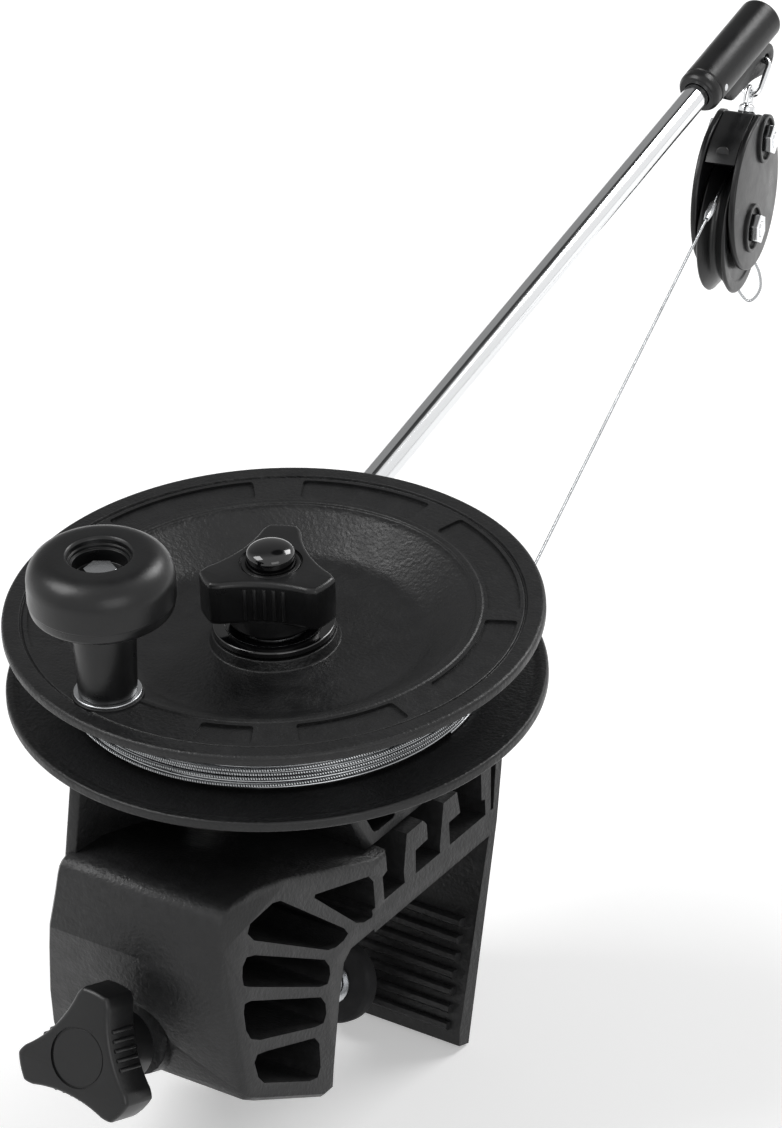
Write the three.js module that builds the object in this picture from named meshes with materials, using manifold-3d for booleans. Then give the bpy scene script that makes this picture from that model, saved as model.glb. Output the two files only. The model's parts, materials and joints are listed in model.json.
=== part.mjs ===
// Downrigger with a gunwale clamp: a cable spool with crank and brake, a boom and a hanging pulley block.
// Millimetres, +Z up. The origin is the middle of the underside of the jaw roof, +X is the right-hand end of
// the clamp, and the boom points to +Y.
import * as THREE from "three";
import { mergeVertices } from "three/addons/utils/BufferGeometryUtils.js";
import Module from "manifold-3d";

const wasm = await Module();
wasm.setup();

// Clearances that every sub-part shares
const FIT = 0.3; // between pieces that touch
const RUN = 0.1; // radial, between pieces that turn in each other
const OVERRUN = 2; // how far a cutter runs past a face
const MERGE_REACH = 0.0001; // vertices closer than this are one

// Clamp body. Its side profile follows the opening between the jaws.
const JAW_OPENING = 86;
const BODY_RIGHT = 40.5; // from the middle to the right-hand end, at the roof
const BODY_LEFT = 38.6;
const BODY_EDGE = 1.5;
const FRONT_ROUND = 8;
const WEB_THICKNESS = 4;
const POCKET_CORNER = 2.6;
const GRIP_RIB_COUNT = 7;
const GRIP_RIB_WIDTH = 3.2;
const GRIP_RIB_DEPTH = 6;
const GRIP_RIB_INSET = 4; // from the ends of the clamp
const RIGHT_TAPER_SHARE = 0.067;
const LEFT_TAPER_SHARE = 0.12;
const FRONT_OUTLINE_SHARES = [
  [-1.335, 0.645], [-1.36, 0.47], [-1.387, 0.325], [-1.381, 0.2], [-1.36, -0.027], [-1.323, -0.215],
  [-1.306, -0.262], [-1.238, -0.306], [-0.802, -0.542], [-0.727, -0.54], [-0.701, -0.442], [-0.643, -0.256],
  [-0.614, -0.166], [-0.56, -0.03], [-0.512, 0], [-0.244, 0], [-0.244, 0.107], [-0.24, 0.202],
  [-0.205, 0.214], [-0.202, 0.314], [-0.285, 0.314], [-0.881, 0.556], [-1.088, 0.621],
];
const REAR_OUTLINE_SHARES = [
  [-0.349, 0], [0.484, 0], [0.345, -0.308], [0.144, -0.767], [0.13, -0.831], [0.195, -0.852],
  [0.424, -0.279], [0.55, 0.042], [0.624, 0.277], [0.68, 0.512], [0.635, 0.512], [0.579, 0.279],
  [0.533, 0.107], [0.515, 0.107], [0.549, 0.314], [0.477, 0.314], [0.46, 0.187], [0.484, 0.177],
  [0.477, 0.107], [0.214, 0.107], [0.223, 0.209], [0.307, 0.212], [0.3, 0.314], [0.202, 0.314],
  [0.147, 0.14], [0.144, 0.107], [-0.034, 0.107], [-0.019, 0.21], [0.07, 0.216], [0.074, 0.285],
  [0.051, 0.314], [-0.065, 0.314], [-0.113, 0.158], [-0.114, 0.107], [-0.349, 0.107],
];
const POCKET_SHARES = [
  [[-0.738, 0.394], [-0.319, 0.259], [-0.329, 0.072], [-0.442, 0.088]],
  [[-0.958, 0.503], [-1.177, 0.49], [-1.16, 0.423], [-0.643, 0.078], [-0.529, 0.079], [-0.523, 0.11]],
  [[-1.22, 0.363], [-1.166, 0.356], [-0.67, 0.049], [-0.672, -0.05], [-0.722, -0.051], [-1.222, 0.235],
    [-1.245, 0.258]],
  [[-1.256, 0.159], [-1.227, 0.171], [-0.723, -0.099], [-0.728, -0.207], [-0.778, -0.207], [-1.2, -0.035],
    [-1.253, 0.015]],
  [[-1.231, -0.094], [-1.164, -0.109], [-0.792, -0.251], [-0.807, -0.422], [-0.858, -0.427],
    [-1.207, -0.233]],
];
const FIRST_RIB_TIP_SHARES = [0.28, -0.33];
const LAST_RIB_TIP_SHARES = [0.123, -0.747];
const HOOK_TOP_SHARE = 0.314;
const ROOF_THICKNESS_SHARE = 0.107;

// Clamp screw with its knob and pad, along an axis square to the jaw faces
const SCREW_TILT = THREE.MathUtils.degToRad(20.4);
const SCREW_ENTRY_SHARES = [-1.303, -0.124]; // where the axis meets the front face
const BOSS_END_SHARE = 0.7;
const PAD_FACE_SHARE = 1.445;
const SCREW_RADIUS = 5.9;
const SCREW_NECK_RADIUS = 4.2;
const SCREW_NECK_LENGTH = 4;
const BOSS_RADIUS = 12.5;
const BOSS_PROUD = 6;
const CLAMP_RESERVE = 5; // what the knob can still close
const SPOT_FACE_CLEARANCE = 1; // round the knob's hub
const COLLAR_RADIUS = 10.5;
const COLLAR_WIDTH = 3;
const NUT_RADIUS = 9;
const NUT_LENGTH = 14;
const PAD_RADIUS = 15.5;
const PAD_THICKNESS = 7;
const PAD_EDGE = 1.5;
const PAD_CLIP_RADIUS = 8;
const PAD_CLIP_THICKNESS = 1.2;

// Three-armed knob, used on the clamp screw and on the brake
const ARM_COUNT = 3;
const KNOB_REACH = 25.4;
const KNOB_WAIST = 14.5;
const KNOB_DEPTH = 17;
const KNOB_EDGE = 1.2;
const KNOB_RIB_COUNT = 5;
const KNOB_RIB_PITCH = 3.4;
const KNOB_RIB_PROUD = 0.8;
const KNOB_HUB_RADIUS = 13;
const KNOB_DISC_RADIUS = 11;
const KNOB_DISC_DEPTH = 0.8;
const ARM_HALF_ANGLE = THREE.MathUtils.degToRad(15);
const CLAMP_KNOB_TURN = THREE.MathUtils.degToRad(-84);
const CLAMP_HUB_LENGTH = 11.8;

// Base frame that stands on the hooks
const SPOOL_SETBACK = 25; // the spool axis lies this far towards the user
const TOWER_HEIGHT = 57.7;
const TOWER_FOOT_FRONT = 22;
const TOWER_FOOT_REAR = 45;
const TOWER_TOP_FRONT = 53;
const TOWER_TOP_REAR = 23;
const TOWER_RIGHT = 34;
const TOWER_EDGE = 2;
const TOWER_POCKET_DEPTH = 16;
const SOCKET_WALL = 6.5;
const SOCKET_DEPTH = 9; // how far the boom reaches past its reference point
const RAIL_LENGTH = 48;
const BASE_SCREW_SIDE = 16;
const BASE_SCREW_RADIUS = 1.6;
const BASE_SCREW_HEAD_RADIUS = 3.4;
const BASE_SCREW_HEAD = 3;
const FRONT_RAIL_SHARES = [
  [0.08, 0.35], [0.08, 0.205], [-0.004, 0.2], [-0.006, 0.114], [0.132, 0.114], [0.132, 0.35],
];
const REAR_RAIL_SHARES = [
  [0.315, 0.35], [0.315, 0.205], [0.235, 0.2], [0.233, 0.114], [0.365, 0.114], [0.365, 0.35],
];
const BASE_SCREW_SHARES = [0.106, 0.34];
const TOWER_CELL_SHARES = [
  [0.1, 0.3, 0.1, 0.88], [0.38, 0.62, 0.1, 0.88], [0.7, 0.9, 0.1, 0.88],
];
const LEFT_CELL_SHARES = [[0.12, 0.44, 0.1, 0.42], [0.54, 0.88, 0.1, 0.42]];

// Spool
const SPOOL_RADIUS = 95;
const SPOOL_HEIGHT = 31;
const FLANGE_THICKNESS = 4.1;
const FLANGE_PLATE = 3.1;
const DRUM_RADIUS = 72.5;
const DRUM_WALL = 2.9;
const DISH_FLOOR_RADIUS = 51.5;
const DISH_FLOOR = 19; // height of the dish floor
const LOWER_RECESS = 2.4; // depth of the hollow under the drum
const FLANGE_RELIEF = 0.8; // between the rim and the drum, underneath
const FLOOR_THICKNESS = 2.8;
const SPOOL_HUB_RADIUS = 20;
const SPOOL_BOSS_HEIGHT = 23;
const LIP_WIDTH = 2;
const RING_STEP = 0.4;
const RIM_CHAMFER = 0.7;
const RIM_BAND = 3.9;
const WELL_DEPTH = 1;
const RING_LINE_SHARE = 0.707; // of the flange's width, from the drum outwards
const WELL_INNER_SHARE = 0.093;
const WELL_OUTER_SHARE = 0.6;
const WELL_ANGLES = [[130, 168], [85, 118], [31, 75], [-9, 26], [-49, -22], [-74, -60], [190, 228]];
const SPOOL_FACETS = 36;
const SPOOL_SCREW_COUNT = 3;
const SPOOL_SCREW_PLACE = 46;
const SPOOL_SCREW_RADIUS = 1.9;
const SPOOL_SCREW_HEAD_RADIUS = 3.6;
const SPOOL_SCREW_HEAD = 2.2;
const SPOOL_POST_RADIUS = 4.2;

// Spindle, friction pieces and brake
const SPINDLE_RADIUS = 7;
const SPINDLE_FLANGE_RADIUS = 20;
const SPINDLE_FLANGE = 2;
const SPINDLE_ROOT = 23; // length held in the tower
const THREAD_RADIUS = 5.2;
const BUSHING_WALL = 3;
const FRICTION_THICKNESS = 1;
const FRICTION_RADIUS = 18.5;
const SKIRT_RADIUS = 21.7;
const SKIRT_THICKNESS = 2.2;
const THRUST_RING_RADIUS = 12;
const THRUST_RING_THICKNESS = 1.2;
const BRAKE_HUB_RADIUS = 16;
const BRAKE_HUB_LENGTH = 5.6;
const BRAKE_NUT_RADIUS = 8;
const BRAKE_NUT_LENGTH = 13;
const CAP_RADIUS = 8.65;
const CAP_RECESS_RADIUS = 11.2;
const CAP_RECESS = 1.2;
const CAP_PROUD = 7;
const CAP_SEAT = 3;
const BRAKE_KNOB_TURN = THREE.MathUtils.degToRad(-5);

// Crank
const CRANK_INSET = 19.3; // from the edge of the spool
const CRANK_ANGLE = THREE.MathUtils.degToRad(-103.6);
const CRANK_SEAT_RADIUS = 12.6;
const CRANK_SEAT_PROUD = 0.4;
const CRANK_WASHER_RADIUS = 11.9;
const CRANK_WASHER = 0.8;
const STEM_BOTTOM_RADIUS = 10.3;
const STEM_TOP_RADIUS = 11.9;
const STEM_LENGTH = 41;
const GRIP_RADIUS = 26.2;
const GRIP_HEIGHT = 22;
const GRIP_FOOT = 34; // above the spool
const GRIP_SHOULDER = 9.5;
const GRIP_FOOT_EDGE = 2.4;
const GRIP_HOLE_RADIUS = 12.25;
const GRIP_RIM = 0.9;
const GRIP_STEP_RADIUS = 9.6;
const GRIP_STEP = 3;
const GRIP_WEB = 4.4;
const CRANK_BOLT_RADIUS = 3;
const CRANK_BOLT_HEAD_RADIUS = 6;
const CRANK_BOLT_HEAD = 3;

// Boom, its socket and end cap
const BOOM_RADIUS = 5;
const BOOM_SIDE = 38.3; // to the left of the spool axis
const BOOM_DROP = 20; // below the spool
const BOOM_YAW = THREE.MathUtils.degToRad(4);
const BOOM_PITCH = THREE.MathUtils.degToRad(9);
const BOOM_REACH = 415;
const CAP_GRIP = 38; // length of the boom inside its cap
const CAP_LENGTH = 47.7;
const BOOM_CAP_RADIUS = 8.43;
const BOOM_CAP_EDGE = 3;
const CAP_PIN_PLACE = 8; // from the start of the cap
const CAP_PIN_RADIUS = 1.5;
const LUG_THICKNESS = 3;
const LUG_DROP = 17.6;
const LUG_REACH = 49.1; // from the start of the cap to the hole
const LUG_ROUND = 6;
const LUG_HOLE_RADIUS = 2;
const LUG_FOOT_SHARES = [[0.377, 0.852], [0.461, 1.051], [0.776, 1.108]]; // of cap length and lug drop
const LOCK_SCREW_PLACE = 34;
const LOCK_SCREW_RADIUS = 3;
const LOCK_SCREW_HEAD_RADIUS = 5.8;
const LOCK_SCREW_HEAD = 4;
const LOCK_BOSS_RADIUS = 8;
const LOCK_BOSS_REACH = 12.5; // from the boom axis

// Pulley block and what it hangs from
const BLOCK_YAW = THREE.MathUtils.degToRad(16);
const LINK_LEAN = THREE.MathUtils.degToRad(48);
const BLOCK_LEAN = THREE.MathUtils.degToRad(35);
const LINK_WIRE_RADIUS = 1.1;
const LINK_HALF_WIDTH = 3.5; // to the middle of its wire
const LINK_LENGTH = 15.5; // between the middles of its two ends
const SWIVEL_DROP = 7.5; // from the swivel eye to the top of the block
const SWIVEL_EYE_RADIUS = 3.7;
const SWIVEL_EYE_HOLE = 1.95;
const SWIVEL_EYE_THICKNESS = 3;
const SWIVEL_PIN_RADIUS = 2.2;
const SWIVEL_BARREL_RADIUS = 3.4;
const SWIVEL_SEAT_DEPTH = 5;
const BLOCK_TOP = 42.5; // above the axle
const HEAD_BOLT_RISE = 34.3;
const SHEAVE_RADIUS = 25.5;
const GROOVE_RADIUS = 21;
const SHEAVE_HALF_WIDTH = 5.6;
const SHEAVE_RIM_FLAT = 1.1;
const GROOVE_HALF_WIDTH = 1.2;
const CHEEK_RADIUS = 29.3;
const CHEEK_RISE = 13;
const CHEEK_FLAT = 9.8; // half the width of the flat top
const CHEEK_THICKNESS = 2.5;
const CHEEK_INSIDE = 6.2; // from the middle plane to a cheek
const THROAT_ROOF = 20.7;
const SHEAVE_CLEARANCE = 1.2; // between the sheave and the arch over it
const SEAT_RADIUS = 9.4;
const SEAT_RIM = 1.5;
const SEAT_PROUD = 1.3;
const BLOCK_NUT_RADIUS = 5.9;
const BLOCK_NUT_LENGTH = 4;
const AXLE_RADIUS = 2.9;
const SHEAVE_BUSH_WALL = 1.4;
const HEAD_BOLT_RADIUS = 2.9;
const MARK_RADIUS = 2.6;
const MARK_PROUD = 0.7;

// Cable
const WIRE_RADIUS = 0.58;
const CORE_THICKNESS = 1.35; // the inner layers on the drum
const WINDING_PITCH = 2.3;
const WINDING_TURNS = 5;
const WINDING_FOOT = 1.6; // above the lower flange plate
const WINDING_FACETS = 24;
const WINDING_SIDES = 6;
const RUN_START = 15; // from the tangent point, clear of the turning winding
const STOP_LENGTH = 13;
const STOP_RADIUS = 1.5;
const STOP_TIP_RADIUS = 0.95;
const STOP_PLACE = 25; // from the sheave's top to the near end of the stop sleeve
const STOP_GAP = 0.7;
const CABLE_DROP = 15;
const END_SLEEVE_LENGTH = 9;
const END_SLEEVE_RADIUS = 2;
const LOOP_LENGTH = 22;
const LOOP_HALF_WIDTH = 4.5;
const LOOP_LEG = 1; // half the distance between the loop's legs in the sleeve

// Places that follow from the sizes above
const HOOK_TOP = HOOK_TOP_SHARE * JAW_OPENING;
const ROOF_THICKNESS = ROOF_THICKNESS_SHARE * JAW_OPENING;
const TOWER_TOP = HOOK_TOP + TOWER_HEIGHT;
const SPOOL_FOOT = TOWER_TOP + FIT + SPINDLE_FLANGE + FRICTION_THICKNESS;
const BOSS_END = BOSS_END_SHARE * JAW_OPENING;
const PAD_FACE = PAD_FACE_SHARE * JAW_OPENING;
const COLLAR_START = -BOSS_PROUD - CLAMP_RESERVE;
const PLATE_TOP = FLANGE_PLATE;
const UPPER_FLANGE_FOOT = SPOOL_HEIGHT - FLANGE_THICKNESS;
const SPOOL_SPLIT = SPOOL_HEIGHT / 2;
const BUSHING_RADIUS = SPINDLE_RADIUS + BUSHING_WALL;
const WINDING_RADIUS = DRUM_RADIUS + CORE_THICKNESS + 2.5 * WIRE_RADIUS;
const WINDING_START = PLATE_TOP + WINDING_FOOT;
const CABLE_HEIGHT = WINDING_START + WINDING_TURNS * WINDING_PITCH;
const CABLE_WRAP_RADIUS = GROOVE_RADIUS + WIRE_RADIUS + FIT;
const BRAKE_FOOT = SPOOL_BOSS_HEIGHT + FRICTION_THICKNESS + SKIRT_THICKNESS + THRUST_RING_THICKNESS + FIT;
const BRAKE_ARMS = BRAKE_FOOT + BRAKE_HUB_LENGTH;
const BRAKE_TOP = BRAKE_ARMS + KNOB_DEPTH;
const CRANK_X = (SPOOL_RADIUS - CRANK_INSET) * Math.cos(CRANK_ANGLE);
const CRANK_Y = (SPOOL_RADIUS - CRANK_INSET) * Math.sin(CRANK_ANGLE);
const onFlange = (share) => DRUM_RADIUS + (SPOOL_RADIUS - DRUM_RADIUS) * share;
const RING_LINE_RADIUS = onFlange(RING_LINE_SHARE);
const STEM_FOOT = SPOOL_HEIGHT + CRANK_SEAT_PROUD + CRANK_WASHER;
const STEM_TOP = STEM_FOOT + STEM_LENGTH;
const CAP_START = BOOM_REACH - CAP_GRIP;
const TOWER_LEFT = BOOM_SIDE + BOOM_RADIUS + SOCKET_WALL + FIT;
const BOOM_PLACE = [
  -BOOM_SIDE * Math.cos(BOOM_YAW), -SPOOL_SETBACK - BOOM_SIDE * Math.sin(BOOM_YAW), SPOOL_FOOT - BOOM_DROP,
];

const X_AXIS = new THREE.Vector3(1, 0, 0);
const Y_AXIS = new THREE.Vector3(0, 1, 0);
const Z_AXIS = new THREE.Vector3(0, 0, 1);

// Finishes
const finish = (color, roughness, metalness) =>
  new THREE.MeshStandardMaterial({ color, roughness, metalness });
const MOULDED = finish(0x17181a, 0.62, 0);
const SMOOTH_BLACK = finish(0x141517, 0.38, 0);
const GLOSS_BLACK = finish(0x08080a, 0.12, 0);
const RUBBER = finish(0x0e0e10, 0.85, 0);
const STEEL = finish(0xc9cbce, 0.22, 1);
const BRIGHT_STEEL = finish(0xdcdddf, 0.12, 1);
const BRASS = finish(0xb08d4a, 0.35, 1);
const FRICTION_LINING = finish(0x3a332c, 0.9, 0);
const WIRE = finish(0xb9bbbe, 0.3, 1);

// Solids: three.js geometries that are joined and cut as manifolds
function toSolid(geometry) {
  const bare = new THREE.BufferGeometry();
  const source = geometry.index ? geometry.toNonIndexed() : geometry;
  bare.setAttribute("position", source.getAttribute("position").clone());
  const merged = mergeVertices(bare, MERGE_REACH);
  const corners = merged.index.array;
  const kept = [];
  for (let i = 0; i < corners.length; i += 3) {
    const [a, b, c] = [corners[i], corners[i + 1], corners[i + 2]];
    if (a !== b && b !== c && c !== a) kept.push(a, b, c);
  }
  const build = (triVerts) =>
    new wasm.Manifold(
      new wasm.Mesh({
        numProp: 3,
        vertProperties: merged.attributes.position.array,
        triVerts: new Uint32Array(triVerts),
      }),
    );
  const solid = build(kept);
  return solid.volume() < 0 ? build(kept.toReversed()) : solid;
}

function toGeometry(solid) {
  const mesh = solid.getMesh();
  const geometry = new THREE.BufferGeometry();
  geometry.setAttribute("position", new THREE.BufferAttribute(mesh.vertProperties, 3));
  geometry.setIndex(new THREE.BufferAttribute(mesh.triVerts, 1));
  const faceted = geometry.toNonIndexed();
  faceted.computeVertexNormals();
  return faceted;
}

const join = (first, ...others) =>
  toGeometry(others.reduce((solid, other) => solid.add(toSolid(other)), toSolid(first)));
const cut = (first, ...tools) =>
  toGeometry(tools.reduce((solid, tool) => solid.subtract(toSolid(tool)), toSolid(first)));
const common = (first, second) => toGeometry(toSolid(first).intersect(toSolid(second)));

// A Y-Z outline extruded along X, with an optional edge that is bevelled inside the outline
function prism(outline, low, high, edge = 0) {
  const shape = new THREE.Shape(outline.map(([y, z]) => new THREE.Vector2(y, z)));
  const geometry = new THREE.ExtrudeGeometry(shape, {
    depth: high - low - 2 * edge,
    bevelEnabled: edge > 0,
    bevelThickness: edge,
    bevelSize: edge,
    bevelOffset: -edge,
    bevelSegments: 1,
    curveSegments: 1,
  });
  geometry.translate(0, 0, low + edge);
  return geometry.applyMatrix4(new THREE.Matrix4().makeBasis(Y_AXIS, Z_AXIS, X_AXIS));
}

// An X-Y outline extruded along Z
function plate(outline, low, high, edge = 0) {
  const turn = new THREE.Matrix4().makeBasis(Z_AXIS, X_AXIS, Y_AXIS);
  return prism(outline, low, high, edge).applyMatrix4(turn);
}

// A profile of radius and height, turned about Z
function turned(profile, facets) {
  const points = profile.map(([radius, height]) => new THREE.Vector2(radius, height));
  const onAxis = profile[0][0] === 0 && profile.at(-1)[0] === 0;
  if (!onAxis) points.push(points[0].clone());
  return new THREE.LatheGeometry(points, facets).rotateX(Math.PI / 2);
}

function rod(radius, low, high, facets = 20) {
  const geometry = new THREE.CylinderGeometry(radius, radius, high - low, facets);
  return geometry.rotateX(Math.PI / 2).translate(0, 0, (low + high) / 2);
}

const ring = (inner, outer, low, high, facets = 20) =>
  turned([[inner, low], [outer, low], [outer, high], [inner, high]], facets);
const alongX = (geometry) => geometry.rotateY(Math.PI / 2);
const alongY = (geometry) => geometry.rotateX(-Math.PI / 2);

// Corners of an outline cut back and rounded by short curves
function softened(outline, radius, steps = 2) {
  return outline.flatMap((corner, i) => {
    const here = new THREE.Vector2(...corner);
    const before = new THREE.Vector2(...outline.at(i - 1));
    const after = new THREE.Vector2(...outline[(i + 1) % outline.length]);
    const back = Math.min(radius, here.distanceTo(before) / 2.2);
    const ahead = Math.min(radius, here.distanceTo(after) / 2.2);
    const start = here.clone().add(before.sub(here).setLength(back));
    const end = here.clone().add(after.sub(here).setLength(ahead));
    const curve = new THREE.QuadraticBezierCurve(start, here, end);
    return curve.getPoints(steps).map((point) => [point.x, point.y]);
  });
}

const arcPoints = (cx, cy, radius, from, to, steps) =>
  Array.from({ length: steps + 1 }, (_, i) => {
    const angle = from + ((to - from) * i) / steps;
    return [cx + radius * Math.cos(angle), cy + radius * Math.sin(angle)];
  });

const byOpening = (shares) => shares.map(([y, z]) => [y * JAW_OPENING, z * JAW_OPENING]);

// A straight-ended tube along a curve
function tube(curve, radius, sides, steps) {
  const section = new THREE.Shape(
    arcPoints(0, 0, radius, 0, 2 * Math.PI, sides).slice(0, sides).map(([x, y]) => new THREE.Vector2(x, y)),
  );
  return new THREE.ExtrudeGeometry(section, { steps, extrudePath: curve, curveSegments: 1 });
}

const model = new THREE.Group();

function frame(parent, x, y, z, yaw = 0, pitch = 0) {
  const group = new THREE.Group();
  group.position.set(x, y, z);
  group.rotation.set(pitch, 0, yaw, "ZXY");
  parent.add(group);
  return group;
}

function piece(group, name, geometry, material) {
  const mesh = new THREE.Mesh(geometry, material);
  mesh.name = name;
  group.add(mesh);
}

// Clamp body
function tapered(geometry) {
  const place = geometry.getAttribute("position");
  for (let i = 0; i < place.count; i += 1) {
    const x = place.getX(i);
    const z = place.getZ(i);
    const side = x > 0 ? 1 - (RIGHT_TAPER_SHARE * z) / BODY_RIGHT : 1 - (LEFT_TAPER_SHARE * z) / BODY_LEFT;
    place.setX(i, x * side);
  }
  return geometry;
}

function pocketCutters() {
  return POCKET_SHARES.flatMap((shares) => {
    const outline = softened(byOpening(shares), POCKET_CORNER, 1);
    return [
      tapered(prism(outline, WEB_THICKNESS / 2, BODY_RIGHT + OVERRUN)),
      tapered(prism(outline, -BODY_LEFT - OVERRUN, -WEB_THICKNESS / 2)),
    ];
  });
}

function gripRibs() {
  const [firstTip, lastTip] = byOpening([FIRST_RIB_TIP_SHARES, LAST_RIB_TIP_SHARES]);
  const first = new THREE.Vector2(...firstTip);
  const down = new THREE.Vector2(...lastTip).sub(first);
  const along = down.clone().normalize();
  const into = new THREE.Vector2(-along.y, along.x);
  return Array.from({ length: GRIP_RIB_COUNT }, (_, i) => {
    const tip = first.clone().addScaledVector(down, i / (GRIP_RIB_COUNT - 1));
    const corner = (side, depth) =>
      tip.clone().addScaledVector(along, (side * GRIP_RIB_WIDTH) / 2).addScaledVector(into, depth).toArray();
    const outline = [
      corner(-0.55, 0), corner(0.55, 0), corner(1, GRIP_RIB_WIDTH / 4),
      corner(1, GRIP_RIB_DEPTH), corner(-1, GRIP_RIB_DEPTH), corner(-1, GRIP_RIB_WIDTH / 4),
    ];
    return tapered(prism(outline, GRIP_RIB_INSET - BODY_LEFT, BODY_RIGHT - GRIP_RIB_INSET));
  });
}

// Moves a solid of the screw axis into the frame of the body
function onScrewAxis(geometry) {
  const [y, z] = byOpening([SCREW_ENTRY_SHARES])[0];
  return alongY(geometry).rotateX(-SCREW_TILT).translate(0, y, z);
}

function baseScrewPlaces() {
  return BASE_SCREW_SHARES.flatMap((share) =>
    [-BASE_SCREW_SIDE, BASE_SCREW_SIDE].map((x) => [x, share * JAW_OPENING]),
  );
}

function roundedAt(outline, index, radius, steps) {
  const span = steps + 1;
  const soft = softened(outline, radius, steps);
  return outline.flatMap((corner, i) => (i === index ? soft.slice(i * span, (i + 1) * span) : [corner]));
}

function clampBody() {
  const front = roundedAt(byOpening(FRONT_OUTLINE_SHARES), 0, FRONT_ROUND, 4);
  const block = tapered(prism(front, -BODY_LEFT, BODY_RIGHT, BODY_EDGE));
  const rear = tapered(prism(byOpening(REAR_OUTLINE_SHARES), -BODY_LEFT, BODY_RIGHT));
  const boss = onScrewAxis(rod(BOSS_RADIUS, -BOSS_PROUD, BOSS_END));
  const whole = join(cut(block, ...pocketCutters()), rear, boss, ...gripRibs());
  const screwBore = onScrewAxis(rod(SCREW_RADIUS + FIT, -BOSS_PROUD - OVERRUN, BOSS_END + OVERRUN));
  const nutSeat = onScrewAxis(rod(NUT_RADIUS + FIT, BOSS_END - NUT_LENGTH - FIT, BOSS_END + OVERRUN));
  const spotFace = onScrewAxis(cut(
    rod(KNOB_HUB_RADIUS + SPOT_FACE_CLEARANCE, COLLAR_START - CLAMP_RESERVE, -BOSS_PROUD + FIT, 24),
    rod(BOSS_RADIUS + RUN, -BOSS_PROUD, 0),
  ));
  const screwHoles = baseScrewPlaces().flatMap(([x, y]) => [
    rod(BASE_SCREW_RADIUS + FIT, -OVERRUN, ROOF_THICKNESS + OVERRUN, 12).translate(x, y, 0),
    rod(BASE_SCREW_HEAD_RADIUS + FIT, -OVERRUN, BASE_SCREW_HEAD + 2 * FIT, 16).translate(x, y, 0),
  ]);
  return cut(whole, spotFace, screwBore, nutSeat, ...screwHoles);
}

// Clamp screw, knob and pad
function starOutline(turn) {
  const half = Math.PI / ARM_COUNT - ARM_HALF_ANGLE;
  const bow =
    (KNOB_REACH ** 2 + KNOB_WAIST ** 2 - 2 * KNOB_REACH * KNOB_WAIST * Math.cos(half)) /
    (2 * (KNOB_REACH * Math.cos(half) - KNOB_WAIST));
  const sweep = Math.asin((KNOB_REACH * Math.sin(half)) / bow);
  return Array.from({ length: ARM_COUNT }, (_, i) => {
    const arm = turn + (2 * Math.PI * i) / ARM_COUNT;
    const side = arm + Math.PI / ARM_COUNT;
    const reach = KNOB_WAIST + bow;
    const hollow = arcPoints(
      reach * Math.cos(side), reach * Math.sin(side), bow,
      side + Math.PI + sweep * 0.86, side + Math.PI - sweep * 0.86, 5,
    );
    const tip = ARM_HALF_ANGLE * 0.8;
    return [...arcPoints(0, 0, KNOB_REACH, arm - tip, arm + tip, 4), ...hollow];
  }).flat();
}

function starRibs(turn, low, high) {
  return Array.from({ length: ARM_COUNT * KNOB_RIB_COUNT }, (_, i) => {
    const side = turn + (Math.PI * (1 + 2 * Math.floor(i / KNOB_RIB_COUNT))) / ARM_COUNT;
    const offset = ((i % KNOB_RIB_COUNT) - (KNOB_RIB_COUNT - 1) / 2) * KNOB_RIB_PITCH;
    const wide = KNOB_RIB_PITCH / 4;
    const outline = [
      [KNOB_WAIST - OVERRUN, -wide], [KNOB_WAIST + KNOB_RIB_PROUD, -wide],
      [KNOB_WAIST + KNOB_RIB_PROUD * 1.4, 0], [KNOB_WAIST + KNOB_RIB_PROUD, wide],
      [KNOB_WAIST - OVERRUN, wide],
    ];
    return plate(outline.map(([x, y]) => [x, y + offset]), low, high).rotateZ(side);
  });
}

function starKnob(turn, low) {
  const high = low + KNOB_DEPTH;
  const body = plate(starOutline(turn), low, high, KNOB_EDGE);
  return join(body, ...starRibs(turn, low + KNOB_EDGE, high - 2 * KNOB_EDGE));
}

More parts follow.
